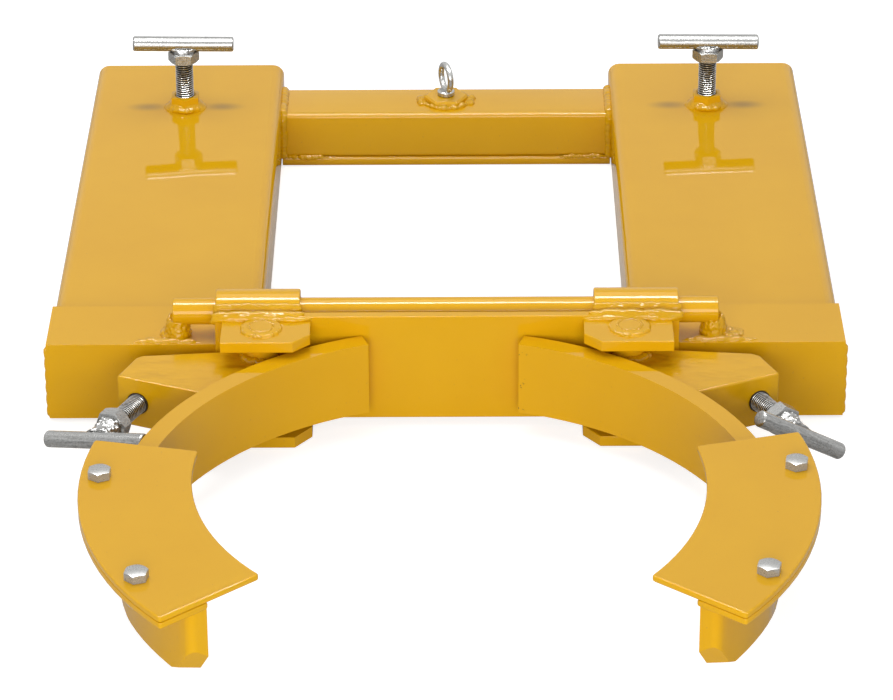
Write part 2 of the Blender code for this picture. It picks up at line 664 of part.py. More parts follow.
def meet_circle(start, along, radius):
    """Where a line from outside first meets a circle round the band's centre."""
    offset = start - BAND_CENTRE
    half = offset.dot(along)
    reach = -half - math.sqrt(half * half - offset.length_squared + radius * radius)
    return start + along * reach


def bracket_outline(side):
    """From the outer corner back along the rear, round the barrel, along the band and forward."""
    front, flank, rear = (
        corner + BRACKET_SHIFT[side]
        for corner in (BRACKET_FRONT_CORNER, BRACKET_SIDE_CORNER, BRACKET_REAR_CORNER)
    )
    face = -Vector((math.cos(math.radians(BRACKET_FACE_DEG)), math.sin(math.radians(BRACKET_FACE_DEG))))
    band = BAND_OUTER_RADIUS + SEAT
    at_band = meet_circle(front, face, band) - BAND_CENTRE
    band_start = math.degrees(math.atan2(at_band.y, at_band.x))
    barrel = BARREL_DIAMETER / 2 + SEAT
    back = (BRACKET_BACK_POINT - rear).normalized()
    half = rear.dot(back)
    reach = -half - math.sqrt(half * half - rear.length_squared + barrel * barrel)
    at_barrel = rear + back * reach
    barrel_start = math.degrees(math.atan2(at_barrel.y, at_barrel.x))
    wrap = arc((0.0, 0.0), barrel, barrel_start, BRACKET_WRAP_DEG, 12)
    leave = Vector(wrap[-1]) - BAND_CENTRE
    band_end = math.degrees(math.atan2(leave.y, leave.x))
    along_band = arc(BAND_CENTRE, band, band_end, band_start, 8)
    return [front, flank, rear] + wrap + along_band


def screw_start(side):
    """Where the screw enters the bracket's front face."""
    slant = math.radians(BRACKET_FACE_DEG)
    corner = BRACKET_FRONT_CORNER + BRACKET_SHIFT[side]
    return corner - ARM_SCREW_STATION * Vector((math.cos(slant), math.sin(slant)))


def screw_bracket(word, side, arm):
    block = to_side(slab([bracket_outline(side)], BRACKET_HEIGHT), side)
    bracket = piece("screw_bracket_" + word, block, arm, (0.0, 0.0, -BRACKET_HEIGHT / 2))
    drill = round_bar(SCREW_DIAMETER + 2 * SEAT, 2 * ARM_SCREW_LENGTH)
    bmesh.ops.translate(drill, verts=drill.verts, vec=(0.0, 0.0, -1.5 * ARM_SCREW_LENGTH))
    shaped(bracket, drill, "DIFFERENCE", screw_place(side), screw_direction(side))


def screw_place(side):
    start = screw_start(side)
    return (side * start.x, start.y, 0.0)


def screw_direction(side):
    """Turns +Z to the screw's outward direction, with X level."""
    return (math.pi / 2, 0.0, side * math.radians(ARM_SCREW_SLANT_DEG))


def arm_barrel(word, arm):
    floor = EAR_LOWER_FLOOR + EAR_THICKNESS + SEAT
    barrel = pipe(BARREL_DIAMETER, PIN_DIAMETER + 2 * SEAT, EAR_SPACING - 2 * SEAT)
    piece("arm_barrel_" + word, barrel, arm, (0.0, 0.0, floor - arm_height()))


def bolt_place(station, side):
    angle = math.radians(GRIP_BOLT_DEG[station][side])
    return BAND_CENTRE + GRIP_BOLT_RADIUS * Vector((math.cos(angle), math.sin(angle)))


def grip_outline(side):
    """Round the band outside, and round its own centre inside; its ends are in line with the flange's."""
    start, tip = SHOE_START_DEG[side], SHOE_TIP_DEG[side]
    far = arc(BAND_CENTRE, SHOE_OUTER_RADIUS, start, tip, 18)
    own_centre = BAND_CENTRE + GRIP_ARC_OFFSET[side]
    own_radius = BAND_INNER_RADIUS - GRIP_ARC_REACH[side]
    ends = [own_angle(angle, own_centre, own_radius) for angle in (tip, start)]
    near = arc(own_centre, own_radius, ends[0], ends[1], 18)
    return round_corners(far + near, {0, 18, 19, 37})


def own_angle(ray_deg, centre, radius):
    """Where a ray from the band's centre meets a circle, as an angle round that circle's centre."""
    ray = Vector((math.cos(math.radians(ray_deg)), math.sin(math.radians(ray_deg))))
    offset = BAND_CENTRE - centre
    half = offset.dot(ray)
    reach = -half + math.sqrt(half * half - offset.length_squared + radius * radius)
    meeting = offset + ray * reach
    return math.degrees(math.atan2(meeting.y, meeting.x))


def shoe(word, side, arm):
    """A flange on the band's top edge and the grip plate bolted on it."""
    holes = [
        circle(GRIP_BOLT_DIAMETER / 2 + SEAT, 20, bolt_place(station, side)) for station in GRIP_BOLT_DEG
    ]
    flange = to_side(slab([flange_outline(side)] + holes, FLANGE_THICKNESS), side)
    piece("shoe_flange_" + word, flange, arm, (0.0, 0.0, FLANGE_FLOOR - arm_height()))
    plate = to_side(slab([grip_outline(side)] + holes, GRIP_THICKNESS), side)
    piece("grip_plate_" + word, plate, arm, (0.0, 0.0, GRIP_FLOOR - arm_height()))
    for station in GRIP_BOLT_DEG:
        grip_fastener(station, word, side, arm)


def grip_fastener(station, word, side, arm):
    place = bolt_place(station, side)
    head_floor = GRIP_TOP + SEAT - arm_height()
    head = hex_prism(GRIP_BOLT_FLATS, GRIP_BOLT_HEAD, turn_deg=GRIP_BOLT_TURN_DEG[station][side])
    where = (side * place.x, place.y, head_floor)
    bolt = piece(f"grip_bolt_{station}_{word}", head, arm, where, look=ZINC)
    overlap = 0.002
    shank = round_bar(GRIP_BOLT_DIAMETER, GRIP_BOLT_LENGTH + overlap, 0.001, 20)
    shaped(bolt, shank, "UNION", (where[0], where[1], head_floor - GRIP_BOLT_LENGTH))
    nut = hex_prism(GRIP_BOLT_FLATS, GRIP_NUT_HEIGHT, GRIP_BOLT_DIAMETER + 2 * SEAT)
    nut_floor = FLANGE_FLOOR - SEAT - GRIP_NUT_HEIGHT - arm_height()
    piece(f"grip_nut_{station}_{word}", nut, arm, (where[0], where[1], nut_floor), look=ZINC)


def arm_screw(word, side, arm):
    """A tee screw through the bracket, whose point bears on the front angle."""
    showing = ARM_SCREW_SHOWING[side]
    place = screw_place(side)
    advance = carrier("arm_screw_" + word + "_axis", arm, place, screw_direction(side))
    screw = round_bar(SCREW_DIAMETER, ARM_SCREW_LENGTH, SCREW_POINT_CHAMFER)
    piece("arm_screw_" + word, screw, advance, (0.0, 0.0, showing - ARM_SCREW_LENGTH), look=ZINC)
    turn = (0.0, 0.0, math.radians(ARM_TEE_TURN_DEG[side]))
    handle = carrier("arm_tee_" + word + "_axis", advance, (0.0, 0.0, showing + SEAT), turn)
    tee("arm_tee_" + word, handle, ARM_HEX_HEIGHT, ARM_TEE_RISE)


def stand_centred(root):
    """Moves the lifter so that the box round its pieces is centred over the origin."""
    bpy.context.view_layer.update()
    graph = bpy.context.evaluated_depsgraph_get()
    low = Vector((1.0, 1.0, 1.0))
    high = -low
    for made in lifter.objects:
        if made.type == "EMPTY":
            continue
        mesh = made.evaluated_get(graph).to_mesh()
        for vert in mesh.vertices:
            place = made.matrix_world @ vert.co
            low = Vector(map(min, low, place))
            high = Vector(map(max, high, place))
        made.evaluated_get(graph).to_mesh_clear()
    root.location = (-(low.x + high.x) / 2, -(low.y + high.y) / 2, -low.z)


frame_root = carrier("drum_lifter_frame")
front_angle(frame_root)
rear_cross_member(frame_root)
eye(frame_root)
hinge_rod(frame_root)
head_root = carrier("head_axis", frame_root, (0.0, ROD_SETBACK, ROD_Z))
head_plate(head_root)
for side_word, side_sign in SIDES.items():
    fork_pocket(side_word, side_sign, frame_root)
    fork_screw(side_word, side_sign, frame_root)
    rod_saddle(side_word, side_sign, frame_root)
    hinge_sleeve(side_word, side_sign, head_root)
    ears_and_pin(side_word, side_sign, head_root)
    pin_offset = (side_sign * PIN_SPACING / 2, PIN_Y - ROD_SETBACK, arm_height() - ROD_Z)
    swing = (0.0, 0.0, side_sign * math.radians(ARM_TURN_DEG[side_sign]))
    arm_root = carrier("arm_" + side_word + "_axis", head_root, pin_offset, swing)
    arm_band(side_word, side_sign, arm_root)
    arm_barrel(side_word, arm_root)
    screw_bracket(side_word, side_sign, arm_root)
    shoe(side_word, side_sign, arm_root)
    arm_screw(side_word, side_sign, arm_root)
stand_centred(frame_root)
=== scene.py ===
"""The looks of the drum lifter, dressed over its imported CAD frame. Units are metres."""
import json
import math
import random

import bmesh
import bpy
from mathutils import Matrix, Vector

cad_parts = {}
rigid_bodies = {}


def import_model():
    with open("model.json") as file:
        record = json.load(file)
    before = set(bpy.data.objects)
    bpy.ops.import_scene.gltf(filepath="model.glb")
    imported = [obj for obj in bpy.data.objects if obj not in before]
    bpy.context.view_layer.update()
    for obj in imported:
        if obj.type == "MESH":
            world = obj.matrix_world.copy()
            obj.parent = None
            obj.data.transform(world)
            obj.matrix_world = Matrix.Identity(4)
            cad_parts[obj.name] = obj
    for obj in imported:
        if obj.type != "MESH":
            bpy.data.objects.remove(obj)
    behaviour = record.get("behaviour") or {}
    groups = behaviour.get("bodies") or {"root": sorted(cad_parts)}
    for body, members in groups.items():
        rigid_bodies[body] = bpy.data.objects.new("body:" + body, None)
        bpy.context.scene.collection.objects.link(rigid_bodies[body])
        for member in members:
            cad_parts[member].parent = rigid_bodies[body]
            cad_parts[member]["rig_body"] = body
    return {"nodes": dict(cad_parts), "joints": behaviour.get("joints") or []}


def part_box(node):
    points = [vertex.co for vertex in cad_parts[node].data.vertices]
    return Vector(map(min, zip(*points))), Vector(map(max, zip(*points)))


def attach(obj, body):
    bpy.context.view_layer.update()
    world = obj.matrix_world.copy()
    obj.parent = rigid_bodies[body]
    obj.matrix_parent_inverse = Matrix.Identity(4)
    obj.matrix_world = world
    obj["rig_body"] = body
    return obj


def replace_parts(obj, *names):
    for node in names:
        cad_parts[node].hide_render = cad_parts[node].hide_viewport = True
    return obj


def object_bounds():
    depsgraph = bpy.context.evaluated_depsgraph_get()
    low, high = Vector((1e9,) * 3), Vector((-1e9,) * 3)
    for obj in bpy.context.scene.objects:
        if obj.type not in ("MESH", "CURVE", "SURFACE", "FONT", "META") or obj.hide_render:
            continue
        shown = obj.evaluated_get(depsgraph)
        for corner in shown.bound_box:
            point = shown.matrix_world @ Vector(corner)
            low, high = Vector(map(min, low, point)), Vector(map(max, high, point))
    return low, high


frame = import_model()
frame_low, frame_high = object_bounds()


# Fork pockets: two long rectangular steel tubes, open at both ends.
# Rolled and seam welded, then sprayed with a gloss yellow enamel with the rest of the frame.
SIDES = {"left": -1, "right": 1}
WELD_DISTANCE = 0.00002
FLAT_DEG = 1.0
SHARP_DEG = 34.0
POCKET_EDGE = 0.0009
COAT_IOR = 1.36
COAT_WEIGHT = 0.9
PEEL_SCALE = (110.0, 110.0, 110.0)


def socket(group, name, direction, kind="NodeSocketFloat", value=None):
    """A named input or output of a shader node group."""
    made = group.interface.new_socket(name=name, in_out=direction, socket_type=kind)
    if value is not None:
        made.default_value = value


def add_node(tree, kind, **settings):
    """A shader node with some of its settings and input values."""
    node = tree.nodes.new(kind)
    for name, value in settings.items():
        if hasattr(node, name):
            setattr(node, name, value)
        else:
            node.inputs[name.replace("_", " ")].default_value = value
    return node


def enamel_group():
    """Sprayed enamel: a slow drift of the colour, faint dust in the film, and its orange peel."""
    group = bpy.data.node_groups.new("sprayed enamel", "ShaderNodeTree")
    socket(group, "Vector", "INPUT", "NodeSocketVector")
    socket(group, "Colour", "INPUT", "NodeSocketColor", (0.7, 0.4, 0.03, 1.0))
    socket(group, "Thin Colour", "INPUT", "NodeSocketColor", (0.6, 0.3, 0.02, 1.0))
    socket(group, "Dust Colour", "INPUT", "NodeSocketColor", (0.45, 0.23, 0.03, 1.0))
    socket(group, "Peel Scale", "INPUT", "NodeSocketVector", PEEL_SCALE)
    socket(group, "Colour", "OUTPUT", "NodeSocketColor")
    socket(group, "Roughness", "OUTPUT")
    socket(group, "Height", "OUTPUT")
    entry = group.nodes.new("NodeGroupInput")
    result = group.nodes.new("NodeGroupOutput")
    link = group.links.new
    drift = add_node(group, "ShaderNodeTexNoise", Scale=9.0, Detail=3.0, Roughness=0.55)
    link(entry.outputs["Vector"], drift.inputs["Vector"])
    spread = add_node(group, "ShaderNodeMapRange", From_Min=0.32, From_Max=0.72)
    link(drift.outputs["Fac"], spread.inputs["Value"])
    tint = add_node(group, "ShaderNodeMix", data_type="RGBA")
    link(spread.outputs["Result"], tint.inputs["Factor"])
    link(entry.outputs["Colour"], tint.inputs["A"])
    link(entry.outputs["Thin Colour"], tint.inputs["B"])
    specks = add_node(group, "ShaderNodeTexNoise", Scale=420.0, Detail=2.0, Roughness=0.5)
    link(entry.outputs["Vector"], specks.inputs["Vector"])
    dust = add_node(group, "ShaderNodeMapRange", From_Min=0.71, From_Max=0.76, To_Max=0.5)
    link(specks.outputs["Fac"], dust.inputs["Value"])
    dusty = add_node(group, "ShaderNodeMix", data_type="RGBA")
    link(dust.outputs["Result"], dusty.inputs["Factor"])
    link(tint.outputs["Result"], dusty.inputs["A"])
    link(entry.outputs["Dust Colour"], dusty.inputs["B"])
    link(dusty.outputs["Result"], result.inputs["Colour"])
    sheen = add_node(group, "ShaderNodeMapRange", To_Min=0.3, To_Max=0.5)
    link(drift.outputs["Fac"], sheen.inputs["Value"])
    link(sheen.outputs["Result"], result.inputs["Roughness"])
    sized = add_node(group, "ShaderNodeVectorMath", operation="MULTIPLY")
    link(entry.outputs["Vector"], sized.inputs[0])
    link(entry.outputs["Peel Scale"], sized.inputs[1])
    peel = add_node(group, "ShaderNodeTexNoise", Scale=1.0, Detail=2.0, Roughness=0.4)
    link(sized.outputs["Vector"], peel.inputs["Vector"])
    link(peel.outputs["Fac"], result.inputs["Height"])
    return group


def chips_group():
    """Small chips in the paint, only near one place: a mask."""
    group = bpy.data.node_groups.new("paint chips", "ShaderNodeTree")
    socket(group, "Vector", "INPUT", "NodeSocketVector")
    socket(group, "Place", "INPUT", "NodeSocketVector")
    socket(group, "Reach", "INPUT", value=0.02)
    socket(group, "Mask", "OUTPUT")
    entry = group.nodes.new("NodeGroupInput")
    result = group.nodes.new("NodeGroupOutput")
    link = group.links.new
    away = add_node(group, "ShaderNodeVectorMath", operation="DISTANCE")
    link(entry.outputs["Vector"], away.inputs[0])
    link(entry.outputs["Place"], away.inputs[1])
    near = add_node(group, "ShaderNodeMapRange", To_Min=1.0, To_Max=0.0)
    link(away.outputs["Value"], near.inputs["Value"])
    link(entry.outputs["Reach"], near.inputs["From Max"])
    flakes = add_node(group, "ShaderNodeTexNoise", Scale=330.0, Detail=3.0, Roughness=0.6)
    link(entry.outputs["Vector"], flakes.inputs["Vector"])
    sharp = add_node(group, "ShaderNodeMapRange", From_Min=0.60, From_Max=0.64)
    link(flakes.outputs["Fac"], sharp.inputs["Value"])
    mask = add_node(group, "ShaderNodeMath", operation="MULTIPLY")
    link(near.outputs["Result"], mask.inputs[0])
    link(sharp.outputs["Result"], mask.inputs[1])
    link(mask.outputs["Value"], result.inputs["Mask"])
    return group


def shade_patch_group():
    """A soft patch of painted shade round one place, stretched along X: a mask that is strongest in the
    middle.
    """
    group = bpy.data.node_groups.new("painted shade patch", "ShaderNodeTree")
    socket(group, "Vector", "INPUT", "NodeSocketVector")
    socket(group, "Place", "INPUT", "NodeSocketVector")
    socket(group, "Size", "INPUT", "NodeSocketVector", (0.03, 0.008, 0.02))
    socket(group, "Strength", "INPUT", value=0.5)
    socket(group, "Mask", "OUTPUT")
    entry = group.nodes.new("NodeGroupInput")
    result = group.nodes.new("NodeGroupOutput")
    link = group.links.new
    offset = add_node(group, "ShaderNodeVectorMath", operation="SUBTRACT")
    link(entry.outputs["Vector"], offset.inputs[0])
    link(entry.outputs["Place"], offset.inputs[1])
    share = add_node(group, "ShaderNodeVectorMath", operation="DIVIDE")
    link(offset.outputs["Vector"], share.inputs[0])
    link(entry.outputs["Size"], share.inputs[1])
    away = add_node(group, "ShaderNodeVectorMath", operation="LENGTH")
    link(share.outputs["Vector"], away.inputs[0])
    soft = add_node(group, "ShaderNodeMapRange", interpolation_type="SMOOTHSTEP", To_Min=1.0, To_Max=0.0)
    link(away.outputs["Value"], soft.inputs["Value"])
    mask = add_node(group, "ShaderNodeMath", operation="MULTIPLY")
    link(soft.outputs["Result"], mask.inputs[0])
    link(entry.outputs["Strength"], mask.inputs[1])
    link(mask.outputs["Value"], result.inputs["Mask"])
    return group


ENAMEL = enamel_group()
CHIPS = chips_group()
SHADE_PATCH = shade_patch_group()
GOLD = (0.70, 0.375, 0.0045)
GOLD_THIN = (0.67, 0.350, 0.0035)
CHIP_BROWN = (0.05, 0.028, 0.014)
# Painted shade beside the fork nuts: its brown, how far out from each nut it sits, its size and its
# strength.
SHADE_PATCH_BROWN = (0.30, 0.17, 0.03)
SHADE_PATCH_OFFSET = 0.040
SHADE_PATCH_SIZE = (0.028, 0.014, 0.02)
SHADE_PATCH_STRENGTH = 0.7


def enamel(
    name, colour=GOLD, thin_colour=GOLD_THIN, peel_depth=0.00002, peel_scale=PEEL_SCALE,
    chipped=(), shade_patches=(), gloss=0.03,
):
    """A gloss paint under a clear coat.

    chipped lists (place, reach) pairs where it is worn, and the shade patches list holds
    (place, size, strength) where painted shade darkens it.
    """
    made = bpy.data.materials.new(name)
    made.use_nodes = True
    tree = made.node_tree
    link = tree.links.new
    shader = tree.nodes["Principled BSDF"]
    shader.inputs["Coat Weight"].default_value = COAT_WEIGHT
    shader.inputs["Coat Roughness"].default_value = gloss
    shader.inputs["Coat IOR"].default_value = COAT_IOR
    shader.inputs["Specular IOR Level"].default_value = 0.0
    place = add_node(tree, "ShaderNodeTexCoord")
    surface = add_node(tree, "ShaderNodeGroup", node_tree=ENAMEL)
    surface.inputs["Colour"].default_value = (*colour, 1.0)
    surface.inputs["Thin Colour"].default_value = (*thin_colour, 1.0)
    surface.inputs["Peel Scale"].default_value = peel_scale
    link(place.outputs["Object"], surface.inputs["Vector"])
    relief = add_node(tree, "ShaderNodeBump", Strength=0.5, Distance=peel_depth)
    link(surface.outputs["Height"], relief.inputs["Height"])
    link(relief.outputs["Normal"], shader.inputs["Normal"])
    link(surface.outputs["Roughness"], shader.inputs["Roughness"])
    shown = surface.outputs["Colour"]
    # Each patch darkens the enamel towards a brown: painted shade.
    for centre, size, strength in shade_patches:
        shade_patch_node = add_node(tree, "ShaderNodeGroup", node_tree=SHADE_PATCH)
        shade_patch_node.inputs["Place"].default_value = centre
        shade_patch_node.inputs["Size"].default_value = size
        shade_patch_node.inputs["Strength"].default_value = strength
        link(place.outputs["Object"], shade_patch_node.inputs["Vector"])
        shade_mixed = add_node(tree, "ShaderNodeMix", data_type="RGBA")
        shade_mixed.inputs["B"].default_value = (*SHADE_PATCH_BROWN, 1.0)
        link(shade_patch_node.outputs["Mask"], shade_mixed.inputs["Factor"])
        link(shown, shade_mixed.inputs["A"])
        shown = shade_mixed.outputs["Result"]
    for centre, reach in chipped:
        chips = add_node(tree, "ShaderNodeGroup", node_tree=CHIPS)
        chips.inputs["Place"].default_value = centre
        chips.inputs["Reach"].default_value = reach
        link(place.outputs["Object"], chips.inputs["Vector"])
        worn = add_node(tree, "ShaderNodeMix", data_type="RGBA")
        worn.inputs["B"].default_value = (*CHIP_BROWN, 1.0)
        link(chips.outputs["Mask"], worn.inputs["Factor"])
        link(shown, worn.inputs["A"])
        shown = worn.outputs["Result"]
    link(shown, shader.inputs["Base Color"])
    return made


def finish_mesh(name, mesh, material, body):
    """A bmesh made into a shown piece that rides on a body."""
    data = bpy.data.meshes.new(name)
    mesh.to_mesh(data)
    mesh.free()
    data.shade_smooth()
    data.set_sharp_from_angle(angle=math.radians(SHARP_DEG))
    data.materials.append(material)
    made = bpy.data.objects.new(name, data)
    bpy.context.scene.collection.objects.link(made)
    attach(made, body)
    return made


def rounded(made, width, segments=3, clamped=True):
    """Rounds a piece's sharp edges; clamped keeps the rounding within its shortest edges."""
    edges = made.modifiers.new("rounded edges", "BEVEL")
    edges.width = width
    edges.segments = segments
    edges.limit_method = "ANGLE"
    edges.angle_limit = math.radians(SHARP_DEG)
    edges.harden_normals = True
    edges.use_clamp_overlap = clamped
    return made


def dressed(node, material, edge, segments=3, clamped=True):
    """A CAD node's shape with its edges rounded, shown in the node's place."""
    mesh = bmesh.new()
    mesh.from_mesh(frame["nodes"][node].data)
    bmesh.ops.remove_doubles(mesh, verts=mesh.verts, dist=WELD_DISTANCE)
    bmesh.ops.dissolve_limit(
        mesh, angle_limit=math.radians(FLAT_DEG), verts=mesh.verts, edges=mesh.edges
    )
    made = finish_mesh(node + "_look", mesh, material, frame["nodes"][node]["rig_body"])
    rounded(made, edge, segments, clamped)
    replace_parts(made, node)
    return made


yellow = enamel("yellow enamel")
# Each pocket's top gets a soft patch of painted shade on both sides of its nut.
for side in SIDES:
    low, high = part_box("fork_screw_nut_" + side)
    shade_beside_nut = []
    for wing in SIDES.values():
        centre = Vector(((low.x + high.x) / 2 + SHADE_PATCH_OFFSET * wing, (low.y + high.y) / 2 + 0.001, low.z))
        shade_beside_nut.append((centre, SHADE_PATCH_SIZE, SHADE_PATCH_STRENGTH))
    pocket_yellow = enamel("pocket enamel " + side, shade_patches=shade_beside_nut)
    dressed("fork_pocket_" + side, pocket_yellow, POCKET_EDGE)


# Front angle: a length of steel angle laid over the pockets' front ends, welded all round.
# The saddles' welds run out behind its top front edge as a lumpy, pointed bead.
MEMBER_EDGE = 0.0012
DROP_STEP = 0.7

dressed("front_angle", yellow, MEMBER_EDGE)
angle_low, angle_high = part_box("front_angle")
WELD_GOLD = (0.68, 0.370, 0.001)
WELD_GOLD_THIN = (0.58, 0.300, 0.0)
weld_yellow = enamel("weld enamel", WELD_GOLD, WELD_GOLD_THIN, 0.0024, (330.0, 330.0, 330.0))


def along(points, step):
    """Evenly spaced places on a line through some points, with the share of the way there."""
    lengths = [(b - a).length for a, b in zip(points, points[1:])]
    count = max(2, round(sum(lengths) / step))
    for i in range(count + 1):
        share = i / count
        left = sum(lengths) * share
        for start, end, length in zip(points, points[1:], lengths):
            if left <= length or end is points[-1]:
                yield start.lerp(end, min(left / length, 1.0)), share
                break
            left -= length


def bead(points, radius, seed, ends=0.5, uneven=0.22, step=DROP_STEP):
    """The drops of a weld bead along a line, as (centre, radius) pairs, smaller at its ends."""
    dice = random.Random(seed)
    drops = []
    for place, share in along(points, radius * step):
        taper = ends + (1.0 - ends) * min(1.0, 5.0 * min(share, 1.0 - share))
        size = radius * taper * dice.uniform(1.0 - uneven, 1.0 + uneven)
        drift = Vector([dice.uniform(-1.0, 1.0) for _ in range(3)]) * (radius * uneven * 0.7)
        drops.append((place + drift, size))
    return drops


def weld(
    name, drops, body, material=weld_yellow,
    voxel=0.0008, stretch=1.0, settling=4, core=None,
):
    """Drops of molten metal, stretched along X, fused with a solid core into one lumpy weld."""
    mesh = core or bmesh.new()
    for centre, size in drops:
        shape = Matrix.Translation(centre) @ Matrix.Diagonal((stretch, 1.0, 1.0, 1.0))
        bmesh.ops.create_icosphere(mesh, subdivisions=2, radius=size, matrix=shape)
    made = finish_mesh(name, mesh, material, body)
    fused = made.modifiers.new("fused", "REMESH")
    fused.mode = "VOXEL"
    fused.voxel_size = voxel
    fused.use_smooth_shade = True
    settled = made.modifiers.new("settled", "SMOOTH")
    settled.factor = 0.5
    settled.iterations = settling
    return made


RUN_OUT = {"left": (-0.2975, -0.2340), "right": (0.2250, 0.2960)}
RUN_OUT_BEAD = 0.0037
RUN_OUT_SETBACK = 0.0050
INNER_CORNER = 0.1765
INNER_BEAD = 0.0030

for side, (start, end) in RUN_OUT.items():
    edge_y = angle_low.y + RUN_OUT_SETBACK
    run = [Vector((start + (end - start) * i / 4, edge_y, angle_high.z - 0.0006)) for i in range(5)]
    weld("angle_bead_" + side, bead(run, RUN_OUT_BEAD, 11, 0.3, 0.3, 0.5), "frame", stretch=1.8)
for side, sign in SIDES.items():
    inside = sign * INNER_CORNER
    back = angle_low.y + 0.0078
    corner = [Vector((inside, back, 0.006)), Vector((inside, back, 0.075))]
    weld("angle_inner_bead_" + side, bead(corner, INNER_BEAD, 12), "frame")


# Rear cross tube with a flat bar under it, fitted between the pockets and welded at its ends.
# The slit between tube and bar is closed with weld near the pockets and left open in the middle.
TUBE_END = 0.1762
TUBE_BEAD = 0.0052
SLIT_END = 0.1755
SLIT_FROM = 0.1235
SLIT_BEAD = 0.0023
BEAD_STANDOFF = 0.0006
HOOP_CORNER = 0.006
HOOP_FOOT = 0.012

for node in ("rear_cross_tube", "rear_cross_bar"):
    dressed(node, yellow, MEMBER_EDGE)
tube_low, tube_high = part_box("rear_cross_tube")
for side, sign in SIDES.items():
    x = sign * TUBE_END
    front = tube_low.y - BEAD_STANDOFF
    back = tube_high.y + BEAD_STANDOFF
    hoop = [
        Vector((x, front, HOOP_FOOT)),
        Vector((x, front, tube_high.z - HOOP_CORNER)),
        Vector((x, tube_low.y + HOOP_CORNER, tube_high.z + 0.0002)),
        Vector((x, tube_high.y - HOOP_CORNER, tube_high.z + 0.0002)),
        Vector((x, back, tube_high.z - HOOP_CORNER)),
        Vector((x, back, HOOP_FOOT)),
    ]
    round_tube = bead(hoop, TUBE_BEAD, 21 + sign, 0.8, 0.12, 0.3)
    weld("tube_bead_" + side, round_tube, "frame", voxel=0.001, settling=9)
    slit = [Vector((sign * across, tube_low.y + 0.0006, tube_low.z)) for across in (SLIT_END, SLIT_FROM)]
    weld("slit_bead_" + side, bead(slit, SLIT_BEAD, 23 + sign, 0.4, 0.5), "frame", voxel=0.0006)


# Eye pad: a hexagonal pad welded on the tube, and the drop-forged eye bolt screwed through it.
# The eye bolt is zinc plated: a round ring on a low collar.
EYE_TURN_DEG = 111.0
EYE_BAR = 0.0066
EYE_RING = 0.0348
COLLAR_RADIUS = 0.00925
COLLAR_HEIGHT = 0.0055
SHANK_LENGTH = 0.026
EYE_LIFT = 0.0201
PAD_EDGE = 0.0009
PAD_BEAD_RING = 0.0235

dressed("eye_pad", yellow, PAD_EDGE)
pad_low, pad_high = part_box("eye_pad")
pad_middle = Vector((0.0, (pad_low.y + pad_high.y) / 2, pad_low.z))


def ring_of(centre, radius, start_deg=0.0, end_deg=360.0, steps=24, squeeze=1.0):
    """Points round a level circle, or an ellipse squeezed along Y."""
    points = []
    for i in range(steps + 1):
        angle = math.radians(start_deg + (end_deg - start_deg) * i / steps)
        points.append(centre + radius * Vector((math.cos(angle), squeeze * math.sin(angle), 0.0)))
    return points


skirt = bead(ring_of(pad_middle, PAD_BEAD_RING, -150.0, 210.0, squeeze=0.92), 0.0036, 31, 0.9, 0.3)
for sign in SIDES.values():
    toe = [pad_middle + Vector((sign * 0.027, y, -0.0006)) for y in (-0.010, 0.0, 0.010)]
    skirt += bead(toe, 0.0042, 33 + sign, 0.7, 0.3)
weld("eye_pad_weld", skirt, "frame")


def zinc_group():
    """Dull zinc plating: cloudy grey with streaks along one direction, rougher where it is dark."""
    group = bpy.data.node_groups.new("dull zinc", "ShaderNodeTree")
    socket(group, "Vector", "INPUT", "NodeSocketVector")
    socket(group, "Along", "INPUT", "NodeSocketVector")
    socket(group, "Dark Colour", "INPUT", "NodeSocketColor", (0.2, 0.2, 0.19, 1.0))
    socket(group, "Bright Colour", "INPUT", "NodeSocketColor", (0.72, 0.72, 0.71, 1.0))
    socket(group, "Gloss", "INPUT", value=0.14)
    socket(group, "Colour", "OUTPUT", "NodeSocketColor")
    socket(group, "Roughness", "OUTPUT")
    socket(group, "Height", "OUTPUT")
    entry = group.nodes.new("NodeGroupInput")
    result = group.nodes.new("NodeGroupOutput")
    link = group.links.new
    clouds = add_node(group, "ShaderNodeTexNoise", Scale=520.0, Detail=4.0, Roughness=0.7)
    link(entry.outputs["Vector"], clouds.inputs["Vector"])
    streaks = add_node(group, "ShaderNodeTexNoise", Scale=1.0, Detail=4.0, Roughness=0.6)
    link(entry.outputs["Along"], streaks.inputs["Vector"])
    both = add_node(group, "ShaderNodeMath", operation="ADD")
    link(clouds.outputs["Fac"], both.inputs[0])
    link(streaks.outputs["Fac"], both.inputs[1])
    shade = add_node(group, "ShaderNodeMapRange", From_Min=0.68, From_Max=1.32)
    link(both.outputs["Value"], shade.inputs["Value"])
    colour = add_node(group, "ShaderNodeMix", data_type="RGBA")
    link(shade.outputs["Result"], colour.inputs["Factor"])
    link(entry.outputs["Dark Colour"], colour.inputs["A"])
    link(entry.outputs["Bright Colour"], colour.inputs["B"])
    link(colour.outputs["Result"], result.inputs["Colour"])
    dull = add_node(group, "ShaderNodeMapRange", To_Min=0.38)
    link(entry.outputs["Gloss"], dull.inputs["To Max"])
    link(shade.outputs["Result"], dull.inputs["Value"])
    link(dull.outputs["Result"], result.inputs["Roughness"])
    link(both.outputs["Value"], result.inputs["Height"])
    return group


ZINC = zinc_group()
STREAK_SCALE = (55.0, 650.0, 650.0)


